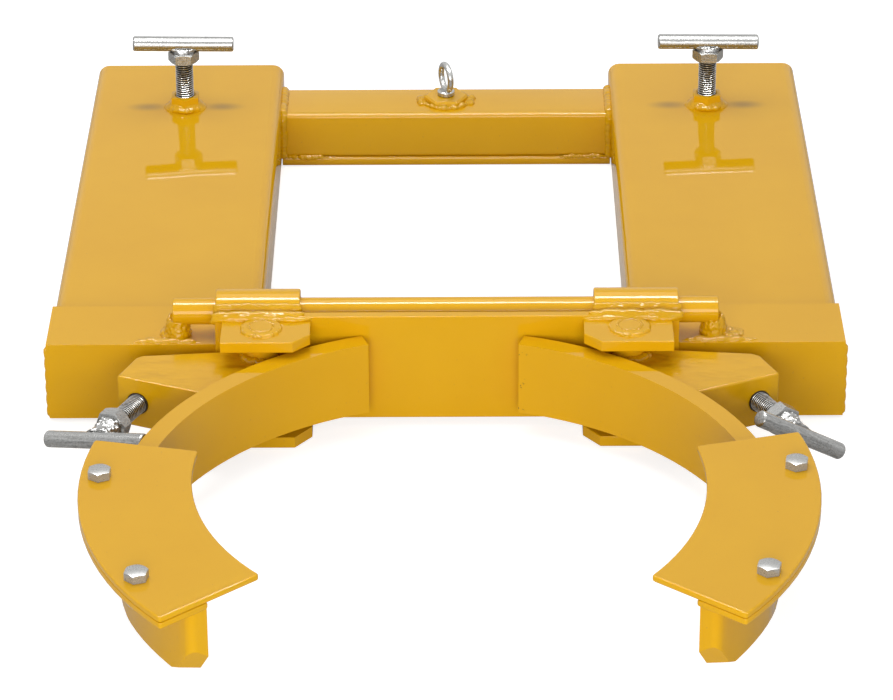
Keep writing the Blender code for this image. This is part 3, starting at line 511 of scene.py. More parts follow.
def zinc_plate(
    name, streak_turn=(0.0, 0.0, 0.0), dark=0.17, bright=0.5, relief_depth=0.0001,
    metal=0.9, gloss=0.14, streak_scale=STREAK_SCALE,
):
    """Plated steel whose streaks run along X, turned to run along a piece."""
    made = bpy.data.materials.new(name)
    made.use_nodes = True
    tree = made.node_tree
    link = tree.links.new
    shader = tree.nodes["Principled BSDF"]
    shader.inputs["Metallic"].default_value = metal
    place = add_node(tree, "ShaderNodeTexCoord")
    turned = add_node(tree, "ShaderNodeMapping", vector_type="TEXTURE")
    turned.inputs["Rotation"].default_value = streak_turn
    stretched = add_node(tree, "ShaderNodeMapping")
    stretched.inputs["Scale"].default_value = streak_scale
    surface = add_node(tree, "ShaderNodeGroup", node_tree=ZINC)
    surface.inputs["Gloss"].default_value = gloss
    surface.inputs["Dark Colour"].default_value = (dark, dark, dark * 0.95, 1.0)
    surface.inputs["Bright Colour"].default_value = (bright, bright, bright * 0.985, 1.0)
    link(place.outputs["Object"], surface.inputs["Vector"])
    link(place.outputs["Object"], turned.inputs["Vector"])
    link(turned.outputs["Vector"], stretched.inputs["Vector"])
    link(stretched.outputs["Vector"], surface.inputs["Along"])
    relief = add_node(tree, "ShaderNodeBump", Strength=0.5, Distance=relief_depth)
    link(surface.outputs["Height"], relief.inputs["Height"])
    link(surface.outputs["Colour"], shader.inputs["Base Color"])
    link(surface.outputs["Roughness"], shader.inputs["Roughness"])
    link(relief.outputs["Normal"], shader.inputs["Normal"])
    return made


def lathe(profile, steps=72):
    """A profile of (radius, height) pairs turned round Z."""
    mesh = bmesh.new()
    corners = [mesh.verts.new((radius, 0.0, height)) for radius, height in profile]
    edges = [mesh.edges.new(pair) for pair in zip(corners, corners[1:])]
    bmesh.ops.spin(
        mesh, geom=corners + edges, axis=(0.0, 0.0, 1.0), angle=math.tau, steps=steps, use_merge=True
    )
    bmesh.ops.remove_doubles(mesh, verts=mesh.verts, dist=WELD_DISTANCE)
    bmesh.ops.recalc_face_normals(mesh, faces=mesh.faces)
    return mesh


def joined(target, added, place=None):
    """Puts a second bmesh, moved to its place, into the first."""
    if place is not None:
        bmesh.ops.transform(added, matrix=place, verts=added.verts)
    carried = bpy.data.meshes.new("carried")
    added.to_mesh(carried)
    added.free()
    target.from_mesh(carried)
    bpy.data.meshes.remove(carried)
    return target


zinc_small = zinc_plate("zinc plate", dark=0.3, bright=0.62)
collar = lathe(
    [
        (0.0, COLLAR_HEIGHT),
        (COLLAR_RADIUS - 0.0012, COLLAR_HEIGHT),
        (COLLAR_RADIUS, COLLAR_HEIGHT - 0.0012),
        (COLLAR_RADIUS, 0.0006),
        (COLLAR_RADIUS - 0.0006, 0.0),
        (EYE_BAR / 2, 0.0),
        (EYE_BAR / 2, -SHANK_LENGTH),
        (0.0, -SHANK_LENGTH),
    ]
)
ring_radius = (EYE_RING - EYE_BAR) / 2
bar_circle = [
    (ring_radius + EYE_BAR / 2 * math.cos(math.tau * i / 20), EYE_BAR / 2 * math.sin(math.tau * i / 20))
    for i in range(21)
]
eye_stand = Matrix.Translation((0.0, 0.0, EYE_LIFT)) @ Matrix.Rotation(math.radians(EYE_TURN_DEG), 4, "Z")
joined(collar, lathe(bar_circle), eye_stand @ Matrix.Rotation(math.pi / 2, 4, "X"))
eye_seat = Matrix.Translation((0.0, pad_middle.y, pad_high.z + 0.0003))
bmesh.ops.transform(collar, matrix=eye_seat, verts=collar.verts)
eye = finish_mesh("eye_bolt_look", collar, zinc_small, "frame")
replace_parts(rounded(eye, 0.0005), "eye_bolt")


# Fork screw nuts: forged hexagonal nuts welded on the pockets' tops and painted with them.
# The thread's mouth is countersunk; the weld spreads out to both sides as a low skirt.
HEX_FLATS = 0.0286
THREAD_RADIUS = 0.009525
HEX_STEPS = 96
NUT_HEIGHT = 0.0152
NUT_CHAMFER_DEG = 28.0
BORE_GAP = 0.0003
SKIRT_BORE = 0.0120
SKIRT_TOP = 0.0082
SKIRT_FOOT = -0.001
SKIRT_RING = 0.0165


def stacked(rings, start_closed, end_closed):
    """Rings of points, each given by a function from an angle to (radius, height), skinned in turn."""
    mesh = bmesh.new()
    bmesh.ops.create_circle(mesh, segments=HEX_STEPS, radius=1.0, cap_ends=start_closed)
    loop, edges = mesh.verts[:], mesh.edges[:]
    for i, ring in enumerate(rings):
        if i:
            grown = bmesh.ops.extrude_edge_only(mesh, edges=edges)["geom"]
            loop = [item for item in grown if isinstance(item, bmesh.types.BMVert)]
            members = set(loop)
            edges = [
                item for item in grown
                if isinstance(item, bmesh.types.BMEdge) and all(vert in members for vert in item.verts)
            ]
        for vert in loop:
            angle = math.atan2(vert.co.y, vert.co.x)
            radius, height = ring(angle)
            vert.co = (radius * math.cos(angle), radius * math.sin(angle), height)
    if end_closed:
        bmesh.ops.edgeloop_fill(mesh, edges=edges)
    bmesh.ops.remove_doubles(mesh, verts=mesh.verts, dist=WELD_DISTANCE / 2)
    bmesh.ops.recalc_face_normals(mesh, faces=mesh.faces)
    return mesh


def hexagon(flats, height, bore=0.0, both_ends=False):
    """A forged hexagon whose corners are turned off on a cone, with or without a countersunk bore."""
    half = flats / 2
    cone = half * 0.96
    slope = math.tan(math.radians(NUT_CHAMFER_DEG))

    def outline(angle):
        return half / math.cos(angle % (math.pi / 3) - math.pi / 6)

    def upper(angle):
        return outline(angle), height - max(0.0, outline(angle) - cone) * slope

    def lower(angle):
        drop = max(0.0, outline(angle) - cone) * slope if both_ends else 0.0
        return outline(angle), drop

    rings = [lambda angle: (cone, 0.0), lower, upper, lambda angle: (cone, height)]
    if bore:
        rings += [
            lambda angle: (bore + 0.0014, height),
            lambda angle: (bore, height - 0.0016),
            lambda angle: (bore, 0.0),
            lambda angle: (cone, 0.0),
        ]
    return stacked(rings, not bore, not bore)


for side, sign in SIDES.items():
    low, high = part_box("fork_screw_nut_" + side)
    seat = Vector(((low.x + high.x) / 2, (low.y + high.y) / 2, low.z))
    nut = hexagon(HEX_FLATS, NUT_HEIGHT, THREAD_RADIUS + BORE_GAP)
    turned = Matrix.Translation(seat) @ Matrix.Rotation(math.pi / 6, 4, "Z")
    bmesh.ops.transform(nut, matrix=turned, verts=nut.verts)
    made = finish_mesh(f"fork_screw_nut_{side}_look", nut, yellow, "frame")
    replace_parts(made, "fork_screw_nut_" + side)
    foot = stacked(
        [
            lambda angle: (SKIRT_BORE, SKIRT_FOOT),
            lambda angle: (0.0168 + 0.0066 * abs(math.cos(angle)) ** 3, SKIRT_FOOT),
            lambda angle: (0.0164 + 0.0052 * abs(math.cos(angle)) ** 3, 0.0020),
            lambda angle: (0.0158 + 0.0012 * abs(math.cos(angle)) ** 3, 0.0062),
            lambda angle: (0.0146, SKIRT_TOP),
            lambda angle: (SKIRT_BORE, SKIRT_TOP),
            lambda angle: (SKIRT_BORE, SKIRT_FOOT),
        ],
        False, False,
    )
    bmesh.ops.translate(foot, verts=foot.verts, vec=seat)
    circle = ring_of(seat + Vector((0.0, 0.0, 0.0024)), SKIRT_RING, -90.0, 270.0)
    skirt = bead(circle, 0.0024, 41 + sign, 0.95, 0.35)
    for wing in SIDES.values():
        toe = [seat + Vector((wing * reach, 0.0, 0.0004)) for reach in (0.016, 0.0222)]
        skirt += bead(toe, 0.0026, 43 + sign, 0.7, 0.3)
    weld("fork_nut_weld_" + side, skirt, "frame", core=foot, settling=5)


# Fork tee screws: threaded shanks, each with a hexagon under a cross bar that is welded on.
# Turned steel, zinc plated after the rough weld was made.
THREAD_PITCH = 0.00254
THREAD_DEPTH = 0.0014
THREAD_STEPS = 20
POINT_LENGTH = 0.003
TEE_BAR_RADIUS = 0.00795
TEE_BAR_LENGTH = 0.107
FORK_SCREW_LENGTH = 0.0603
FORK_HEX_HEIGHT = 0.0115
FORK_RISE = 0.0195
FORK_TURN_DEG = {"left": 1.8, "right": 2.2}
FORK_LEAN_DEG = 1.4
HUB_DROPS = 120
RING_SCALE = (60.0, 60.0, 420.0)

joints = {joint["name"]: joint for joint in frame["joints"]}
# A near-black copy of the zinc for the thread's grooves: painted shade in the roots.
root_shade_zinc = zinc_plate("painted thread root shade", dark=0.02, bright=0.07, relief_depth=0.00004)
zinc_weld = zinc_plate("zinc weld", dark=0.14, bright=0.52, relief_depth=0.0004, gloss=0.32)


def threaded(length):
    """A threaded shank from z = -length up to 0, with a turned-down point."""
    mesh = bmesh.new()
    turns = math.ceil(length / THREAD_PITCH) + 2
    root = THREAD_RADIUS - THREAD_DEPTH
    flank = root + 0.72 * THREAD_DEPTH
    tooth = [
        (root, 0.0), (root, 0.12), (flank, 0.40), (THREAD_RADIUS, 0.52), (THREAD_RADIUS, 0.66),
        (flank, 0.78), (root, 1.0),
    ]
    corners = [mesh.verts.new((radius, 0.0, share * THREAD_PITCH)) for radius, share in tooth]
    edges = [mesh.edges.new(pair) for pair in zip(corners, corners[1:])]
    bmesh.ops.spin(
        mesh, geom=corners + edges, axis=(0.0, 0.0, 1.0), angle=math.tau * turns,
        dvec=(0.0, 0.0, THREAD_PITCH / THREAD_STEPS), steps=turns * THREAD_STEPS,
    )
    bmesh.ops.translate(mesh, verts=mesh.verts, vec=(0.0, 0.0, -length - THREAD_PITCH))
    bmesh.ops.remove_doubles(mesh, verts=mesh.verts, dist=WELD_DISTANCE)
    for height, side in ((0.0, 1.0), (-length + POINT_LENGTH, -1.0)):
        cut = bmesh.ops.bisect_plane(
            mesh, geom=mesh.verts[:] + mesh.edges[:] + mesh.faces[:], dist=0.000001,
            plane_co=(0.0, 0.0, height), plane_no=(0.0, 0.0, side), clear_outer=True,
        )
        rim = [item for item in cut["geom_cut"] if isinstance(item, bmesh.types.BMEdge)]
        bmesh.ops.edgeloop_fill(mesh, edges=rim)
    bmesh.ops.recalc_face_normals(mesh, faces=mesh.faces)
    # Faces down in the grooves take the second material, the painted shade of the roots.
    for face in mesh.faces:
        if all(vert.co.xy.length < flank + 0.00005 for vert in face.verts):
            face.material_index = 1
    point = lathe(
        [
            (0.0, -length + POINT_LENGTH + 0.001),
            (root, -length + POINT_LENGTH + 0.001),
            (root, -length + 0.0012),
            (root - 0.0012, -length),
            (0.0, -length),
        ],
        40,
    )
    return joined(mesh, point)


def tee_screw(name, base, screw_length, hex_height, rise, lean_deg, streak_turn, seed):
    """A tee handle and its threaded shank, both set by the matrix of the hexagon's lower face."""
    screw_body = name.replace("_tee_", "_screw_")
    shank = threaded(screw_length)
    bmesh.ops.transform(shank, matrix=base @ Matrix.Translation((0.0, 0.0, -0.0003)), verts=shank.verts)
    crest = zinc_plate(
        screw_body + " zinc", streak_turn, dark=0.16, bright=0.78, relief_depth=0.00004,
        streak_scale=RING_SCALE,
    )
    made = finish_mesh(screw_body + "_look", shank, crest, screw_body)
    made.data.materials.append(root_shade_zinc)
    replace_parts(made, screw_body)
    head = hexagon(HEX_FLATS, hex_height, both_ends=True)
    bmesh.ops.transform(head, matrix=base, verts=head.verts)
    polished = zinc_plate(name + " zinc", streak_turn)
    finish_mesh(name + "_head", head, polished, name)
    half = TEE_BAR_LENGTH / 2
    bar = lathe(
        [
            (0.0, half),
            (TEE_BAR_RADIUS - 0.0013, half),
            (TEE_BAR_RADIUS, half - 0.0013),
            (TEE_BAR_RADIUS, 0.0013 - half),
            (TEE_BAR_RADIUS - 0.0013, -half),
            (0.0, -half),
        ]
    )
    lie = Matrix.Translation((0.0, 0.0, rise)) @ Matrix.Rotation(math.radians(90.0 + lean_deg), 4, "Y")
    bmesh.ops.transform(bar, matrix=base @ lie, verts=bar.verts)
    bar_look = finish_mesh(name + "_look", bar, polished, name)
    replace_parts(rounded(bar_look, 0.0008), name)
    dice = random.Random(seed)
    under = rise - TEE_BAR_RADIUS

    def hub(share, angle):
        """The hub's outline, which narrows above the hexagon and spreads out along the bar."""
        height = hex_height + share * (under + 0.004 - hex_height)
        spread = 0.0118 - 0.0010 * share + 0.0052 * share**4 * abs(math.cos(angle))
        return spread * (1.0 - 0.22 * share * abs(math.sin(angle))), height

    rings = [lambda angle, share=share: hub(share, angle) for share in (0.0, 0.3, 0.6, 0.8, 1.0)]
    core = stacked(rings, True, True)
    bmesh.ops.transform(core, matrix=base, verts=core.verts)
    drops = []
    for _ in range(HUB_DROPS):
        angle = dice.uniform(0.0, math.tau)
        spread, height = hub(dice.random(), angle)
        place = Vector((0.93 * spread * math.cos(angle), 0.93 * spread * math.sin(angle), height))
        drops.append((base @ place, dice.uniform(0.0011, 0.0024)))
    weld(name + "_weld", drops, name, zinc_weld, 0.0007, settling=2, core=core)


for side, sign in SIDES.items():
    turn = math.radians(FORK_TURN_DEG[side])
    base = Matrix.Translation(joints[f"fork_tee_{side}_turn"]["pos_m"]) @ Matrix.Rotation(turn, 4, "Z")
    tee_screw(
        "fork_tee_" + side, base, FORK_SCREW_LENGTH, FORK_HEX_HEIGHT, FORK_RISE, FORK_LEAN_DEG,
        (0.0, 0.0, turn), 51 + sign,
    )


# Hinge rod: a cold drawn round bar across the front, its ends welded down on the angle.
# Each end sits on a rough mound of weld that hides the small saddle under it.
ROD_EDGE = 0.0012
MOUND_DROPS = 380
MOUND_PROFILE = [(0.0, 0.0), (1.0, 0.0), (0.98, 0.2), (0.88, 0.55), (0.66, 0.9), (0.0, 1.0)]
MOUND_WIDTH = 0.0120
MOUND_DEPTH = 0.0150
SLOPE_ROWS = {"left": 1, "right": 5}


def turned_x(low, high, name, material, body):
    """A plain round bar that fills a box along X."""
    radius = (high.z - low.z) / 2
    bar = lathe([(0.0, high.x), (radius, high.x), (radius, low.x), (0.0, low.x)], 96)
    place = Matrix.Translation((0.0, (low.y + high.y) / 2, (low.z + high.z) / 2))
    bmesh.ops.transform(bar, matrix=place @ Matrix.Rotation(math.pi / 2, 4, "Y"), verts=bar.verts)
    return rounded(finish_mesh(name, bar, material, body), ROD_EDGE)


rod_low, rod_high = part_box("hinge_rod")
rod_middle = Vector((0.0, (rod_low.y + rod_high.y) / 2, (rod_low.z + rod_high.z) / 2))
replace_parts(turned_x(rod_low, rod_high, "hinge_rod_look", yellow, "frame"), "hinge_rod")
for side, sign in SIDES.items():
    low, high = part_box("rod_saddle_" + side)
    dice = random.Random(61 + sign)
    middle = Vector(((low.x + high.x) / 2 + sign * 0.001, rod_middle.y, angle_high.z))
    spread = Vector((MOUND_WIDTH, MOUND_DEPTH, rod_middle.z - 0.006 - angle_high.z))
    core = lathe(MOUND_PROFILE, 40)
    sized = Matrix.Translation(middle) @ Matrix.Diagonal((*spread, 1.0))
    bmesh.ops.transform(core, matrix=sized, verts=core.verts)
    mound = []
    for _ in range(MOUND_DROPS):
        angle = dice.uniform(0.0, math.tau)
        share = dice.uniform(0.05, 0.95)
        reach = 0.94 - 0.30 * share * share
        across = reach * math.cos(angle) * spread.x
        back = reach * math.sin(angle) * spread.y
        mound.append((middle + Vector((across, back, share * spread.z)), dice.uniform(0.0010, 0.0025)))
    foot = rod_middle.y - MOUND_DEPTH
    outer = high.x if sign > 0 else low.x
    for i in range(SLOPE_ROWS[side]):
        reach = outer + sign * (0.001 + 0.0035 * i)
        start = Vector((reach, foot + 0.002 * i, angle_high.z))
        end = Vector((reach, rod_middle.y + 0.012 - 0.002 * i, angle_high.z))
        mound += bead([start, end], 0.0036 - 0.0004 * i, 63 + sign + i, 0.5, 0.35)
    made = weld("rod_mound_" + side, mound, "frame", voxel=0.0007, settling=2, core=core)
    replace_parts(made, "rod_saddle_" + side)


# Head: a flat plate that hangs from two sleeves on the rod, with ears that hold the arms' pins.
# Flame-cut and sawn steel; the sleeves are welded along the plate's top with heavy rippled beads.
PLATE_EDGE = 0.0011
SLEEVE_EDGE = 0.0016
EAR_EDGE = 0.0010
PIN_EDGE = 0.0006
SLEEVE_BORE = 0.0130
EAR_WELD_RISE = 0.0028
PIN_HALO = 0.0178
PIN_CROWN = 0.0118
SLEEVE_ROWS = ((-2.0, 0.0034), (10.0, 0.0032), (21.0, 0.0030), (31.0, 0.0027), (40.0, 0.0023))

rippled_yellow = enamel("rippled weld enamel", WELD_GOLD, WELD_GOLD_THIN, 0.0045, (120.0, 430.0, 430.0))

dressed("head_plate", yellow, PLATE_EDGE)
plate_low, plate_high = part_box("head_plate")


def level_run(low, high, inset, y, z):
    """A line along X between a box's ends, drawn in a little at both."""
    return [Vector((low.x + inset, y, z)), Vector((high.x - inset, y, z))]


for side, sign in SIDES.items():
    low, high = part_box("hinge_sleeve_" + side)
    radius = (high.z - low.z) / 2
    walls = [(SLEEVE_BORE, high.x), (radius, high.x), (radius, low.x), (SLEEVE_BORE, low.x)]
    sleeve = lathe(walls + walls[:1], 96)
    lie = Matrix.Translation(rod_middle) @ Matrix.Rotation(math.pi / 2, 4, "Y")
    bmesh.ops.transform(sleeve, matrix=lie, verts=sleeve.verts)
    made = finish_mesh(f"hinge_sleeve_{side}_look", sleeve, yellow, "head")
    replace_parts(rounded(made, SLEEVE_EDGE, 4), "hinge_sleeve_" + side)
    dressed("upper_ear_" + side, yellow, EAR_EDGE)
    dressed("lower_ear_" + side, yellow, EAR_EDGE)
    dressed("pivot_pin_" + side, yellow, PIN_EDGE)

    # The beads lie along the sleeve, each at an angle up from the front and with its own radius.
    ripples = []
    for i, (rise_deg, size) in enumerate(SLEEVE_ROWS):
        angle = math.radians(rise_deg)
        y = rod_middle.y - (radius - 0.0007) * math.cos(angle)
        z = rod_middle.z + (radius - 0.0007) * math.sin(angle)
        ripples += bead(level_run(low, high, 0.003, y, z), size, 71 + sign + 10 * i, 0.8, 0.3, 0.5)
    edge = plate_low.y + 0.0035
    ripples += bead(level_run(low, high, 0.001, edge, plate_high.z + 0.0004), 0.0036, 77 + sign, 0.6, 0.3)
    ear_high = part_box("upper_ear_" + side)[1].z - EAR_WELD_RISE
    for i, share in enumerate((0.3, 0.55, 0.8)):
        y = edge + share * (plate_low.y - 0.0010 - edge)
        z = plate_high.z + share * (ear_high - plate_high.z)
        ripples += bead(level_run(low, high, 0.002, y, z), 0.0034, 76 + sign + 10 * i, 0.6, 0.28, 0.5)
    weld("sleeve_weld_" + side, ripples, "head", rippled_yellow, stretch=2.6, settling=3)
    run = level_run(low, high, 0.003, plate_high.y + 0.0016, rod_middle.z - radius * 0.93)
    weld("sleeve_back_weld_" + side, bead(run, 0.0032, 78 + sign), "head")

    low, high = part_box("upper_ear_" + side)
    ear_top = high.z - EAR_WELD_RISE
    seam_y = plate_low.y - 0.0010
    seams = bead(level_run(low, high, 0.002, seam_y, ear_top + 0.0008), 0.0032, 81 + sign, 0.6, 0.32)
    seams += bead(level_run(low, high, 0.003, seam_y, low.z - 0.0004), 0.0030, 82 + sign)
    weld("ear_weld_" + side, seams, "head", rippled_yellow, stretch=1.8)
    low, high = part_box("lower_ear_" + side)
    seams = bead(level_run(low, high, 0.002, seam_y, high.z + 0.0004), 0.0030, 85 + sign)
    weld("lower_ear_weld_" + side, seams, "head")

    low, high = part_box("pivot_pin_" + side)
    middle = Vector(((low.x + high.x) / 2, (low.y + high.y) / 2, ear_top))
    wide = ring_of(middle + Vector((0.0, 0.0, 0.0006)), PIN_HALO, 48.0, -228.0)
    narrow = ring_of(middle + Vector((0.0, 0.0, 0.0022)), PIN_CROWN)
    halo = bead(wide, 0.0019, 87 + sign, 0.7, 0.4)
    halo += bead(narrow, 0.0013, 89 + sign, 1.0, 0.4)
    weld("pin_weld_" + side, halo, "head", voxel=0.0006)


# Arms: bars rolled to the drum's curve, each welded to a barrel on the pivot pin and to the block
# that carries its tee screw. Bar steel, ground at the tips and sprayed yellow.
ARM_TURN = {"left": 0.0, "right": math.radians(1.4)}
BAND_CENTRE = Vector((-0.19919, -0.28206))
BAND_OUTER = 0.316
CHIPPED_AT = 0.297
BARREL_RADIUS = 0.016
BARREL_EDGE = 0.0010
BAND_EDGE = 0.0017
BLOCK_EDGE = 0.0024
BLOCK_SEAM = 0.0010

wavy_yellow = enamel("wavy enamel", peel_depth=0.012, peel_scale=(30.0, 55.0, 30.0), gloss=0.14)


def on_arm(side, across, back, height):
    """A place given from the arm's pin, outwards and backwards, with its height above the ground."""
    pivot = joints[f"arm_{side}_swing"]["pos_m"]
    swing = ARM_TURN[side]
    turned_across = across * math.cos(swing) - back * math.sin(swing)
    turned_back = across * math.sin(swing) + back * math.cos(swing)
    return Vector((pivot[0] + SIDES[side] * turned_across, pivot[1] + turned_back, height))


def on_band(side, radius, angle_deg, height):
    """A place round the band's centre, at an angle from straight outwards."""
    angle = math.radians(angle_deg)
    plan = BAND_CENTRE + radius * Vector((math.cos(angle), math.sin(angle)))
    return on_arm(side, plan.x, plan.y, height)


for side, sign in SIDES.items():
    band_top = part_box("arm_band_" + side)[1].z
    wear = []
    if side == "right":
        wear += [(on_band(side, CHIPPED_AT, 71.2, height), 0.009) for height in (0.030, 0.055, 0.085)]
        wear += [(on_band(side, CHIPPED_AT, -40.0, 0.030), 0.014)]
    arm_yellow = enamel("arm enamel " + side, chipped=wear)
    dressed("arm_band_" + side, arm_yellow, BAND_EDGE)
    dressed("arm_barrel_" + side, yellow, BARREL_EDGE)
    dressed("screw_bracket_" + side, wavy_yellow, BLOCK_EDGE, clamped=False)
    arm_body = "arm_" + side
    block_low, block_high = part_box("screw_bracket_" + side)
    round_barrel = []
    for deg in range(-105, 160, 15):
        across = (BARREL_RADIUS + 0.001) * math.cos(math.radians(deg))
        back = (BARREL_RADIUS + 0.001) * math.sin(math.radians(deg))
        round_barrel.append(on_arm(side, across, back, block_high.z + 0.0004))
    weld("barrel_weld_" + side, bead(round_barrel, 0.0044, 91 + sign, 0.7, 0.3), arm_body)
    corner = [
        on_band(side, BAND_OUTER + 0.0006, 59.0 - 1.6 * i, band_top - 0.0034 - 0.001 * i) for i in range(4)
    ]
    seam = BAND_OUTER + BLOCK_SEAM
    corner += [on_band(side, seam, deg, block_high.z + 0.0002) for deg in (54.0, 51.0, 47.0, 43.0, 40.5)]
    weld("block_weld_" + side, bead(corner, 0.0026, 93 + sign, 0.6, 0.3), arm_body)
    under = [on_band(side, seam, deg, block_low.z - 0.0002) for deg in (53.5, 50.0, 46.0, 42.0, 40.5)]
    weld("block_under_weld_" + side, bead(under, 0.0028, 95 + sign), arm_body)


# Shoes: a flange welded on top of each band and a grip plate bolted on it.
# Laser-cut plate; the grip plates' inner edges bite under the drum's hoop.
SHOE_EDGE = 0.0017
SHOE_ANGLES = {"left": (11.5, -40.0), "right": (12.6, -39.8)}

for side, sign in SIDES.items():
    flange_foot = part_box("shoe_flange_" + side)[0].z
    dressed("shoe_flange_" + side, yellow, SHOE_EDGE, clamped=False)
    dressed("grip_plate_" + side, yellow, SHOE_EDGE, clamped=False)
    start_deg, end_deg = SHOE_ANGLES[side]
    run = [
        on_band(side, BAND_OUTER + 0.0012, start_deg + (end_deg - start_deg) * i / 14, flange_foot - 0.0012)
        for i in range(15)
    ]
    weld("flange_weld_" + side, bead(run, 0.0026, 101 + sign), "arm_" + side)


# Grip bolts: short hexagon bolts with plain nuts, two on each grip plate.
# Forged, zinc plated; the heads' tops are grainy and a little duller than the flats, though heads, shanks
# and nuts here share one zinc finish.
GRIP_FLATS = 0.01905
GRIP_HEAD = 0.0079
GRIP_NUT = 0.0111
GRIP_SHANK_RADIUS = 0.00635
GRIP_TURN_DEG = {"rear": {"left": 26.0, "right": 19.0}, "front": {"left": 19.0, "right": 15.0}}

bolt_zinc = zinc_plate("bolt zinc", dark=0.28, bright=0.44, relief_depth=0.00006, metal=0.5, gloss=0.2)
for side, sign in SIDES.items():
    for station, turns in GRIP_TURN_DEG.items():
        low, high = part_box(f"grip_bolt_{station}_{side}")
        middle = Vector(((low.x + high.x) / 2, (low.y + high.y) / 2, high.z - GRIP_HEAD))
        turn = math.radians(turns[side]) + sign * ARM_TURN[side]
        place = Matrix.Translation(middle) @ Matrix.Rotation(turn, 4, "Z")
        head = hexagon(GRIP_FLATS, GRIP_HEAD)
        length = middle.z - low.z
        shank = [
            (0.0, 0.001),
            (GRIP_SHANK_RADIUS, 0.001),
            (GRIP_SHANK_RADIUS, 0.001 - length),
            (GRIP_SHANK_RADIUS - 0.001, -length),
            (0.0, -length),
        ]
        joined(head, lathe(shank, 32))
        bmesh.ops.transform(head, matrix=place, verts=head.verts)
        made = finish_mesh(f"grip_bolt_{station}_{side}_look", head, bolt_zinc, "arm_" + side)
        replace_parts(made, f"grip_bolt_{station}_{side}")
        low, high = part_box(f"grip_nut_{station}_{side}")
        nut = hexagon(GRIP_FLATS, GRIP_NUT, GRIP_SHANK_RADIUS + BORE_GAP, True)
        stand = Matrix.Translation((middle.x, middle.y, low.z))
        stand = stand @ Matrix.Rotation(sign * ARM_TURN[side], 4, "Z")
        bmesh.ops.transform(nut, matrix=stand, verts=nut.verts)
        made = finish_mesh(f"grip_nut_{station}_{side}_look", nut, bolt_zinc, "arm_" + side)
        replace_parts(made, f"grip_nut_{station}_{side}")


# Arm tee screws: the same screws as on the forks, but longer, through the blocks on the arms.
# Their points stand against the front angle and set how far the arms open; a thin near-black
# ring round each screw where it enters its block is painted shade in the bore.
ARM_SCREW_LENGTH = 0.1143
ARM_HEX_HEIGHT = 0.014
ARM_RISE = 0.040
ARM_SHOWING = {"left": 0.038, "right": 0.033}
MOUTH_INNER = 0.0099
MOUTH_OUTER = 0.0108
MOUTH_RISE = 0.0002
MOUTH_DEPTH = 0.001
SCREW_SLANT = math.radians(25.5)
ARM_TEE_TURN = {"left": math.radians(11.5), "right": math.radians(-33.0)}

# A thin near-black ring, standing in the bore round each screw, paints the shade there.
bore_shade_paint = bpy.data.materials.new("painted bore shade")
bore_shade_paint.use_nodes = True
bore_shade_shader = bore_shade_paint.node_tree.nodes["Principled BSDF"]
bore_shade_shader.inputs["Base Color"].default_value = (0.035, 0.022, 0.008, 1.0)
bore_shade_shader.inputs["Roughness"].default_value = 0.6

for side, sign in SIDES.items():
    heading = sign * (SCREW_SLANT + ARM_TURN[side])
    aim = Matrix.Rotation(heading, 4, "Z") @ Matrix.Rotation(math.pi / 2, 4, "X")
    aim = aim @ Matrix.Rotation(ARM_TEE_TURN[side], 4, "Z")
    base = Matrix.Translation(joints[f"arm_tee_{side}_turn"]["pos_m"]) @ aim
    lip = [
        (MOUTH_INNER, MOUTH_RISE),
        (MOUTH_OUTER, MOUTH_RISE),
        (MOUTH_OUTER, -MOUTH_DEPTH),
        (MOUTH_INNER, -MOUTH_DEPTH),
    ]
    mouth = lathe(lip + lip[:1])
    sunk = base @ Matrix.Translation((0.0, 0.0, -ARM_SHOWING[side]))
    bmesh.ops.transform(mouth, matrix=sunk, verts=mouth.verts)
    finish_mesh("screw_bore_shade_" + side, mouth, bore_shade_paint, "arm_" + side)
    tee_screw(
        "arm_tee_" + side, base, ARM_SCREW_LENGTH, ARM_HEX_HEIGHT, ARM_RISE, 0.0,
        aim.to_euler(), 111 + sign,
    )


# Floor and background: a plain pale floor under an even white surround.
# The camera sees white, glossy surfaces see the white surround over a dimmer floor, and the
# object is lit at a plain level.
FLOOR_SIZE = 30.0
FLOOR_GLOW = 0.76
FLOOR_MIRRORED = 0.15
WHITE_LEVEL = 1.0
SKY_LEVEL = 0.52

floor_mesh = bmesh.new()
bmesh.ops.create_grid(floor_mesh, x_segments=1, y_segments=1, size=FLOOR_SIZE / 2)
floor_data = bpy.data.meshes.new("floor")
floor_mesh.to_mesh(floor_data)
floor_mesh.free()
floor = bpy.data.objects.new("floor", floor_data)
floor.location.z = frame_low.z - 0.0005
bpy.context.scene.collection.objects.link(floor)


def seen_rays(tree, mirrored=1.0):
    """1 for camera and transmission rays, a share for glossy ones, 0 for those that light the object."""
    path = add_node(tree, "ShaderNodeLightPath")
    glossy = add_node(tree, "ShaderNodeMath", operation="MULTIPLY")
    glossy.inputs[1].default_value = mirrored
    first = add_node(tree, "ShaderNodeMath", operation="MAXIMUM")
    both = add_node(tree, "ShaderNodeMath", operation="MAXIMUM")
    tree.links.new(path.outputs["Is Camera Ray"], first.inputs[0])
    tree.links.new(path.outputs["Is Glossy Ray"], glossy.inputs[0])
    tree.links.new(glossy.outputs["Value"], first.inputs[1])
    tree.links.new(first.outputs["Value"], both.inputs[0])
    tree.links.new(path.outputs["Is Transmission Ray"], both.inputs[1])
    return both.outputs["Value"]


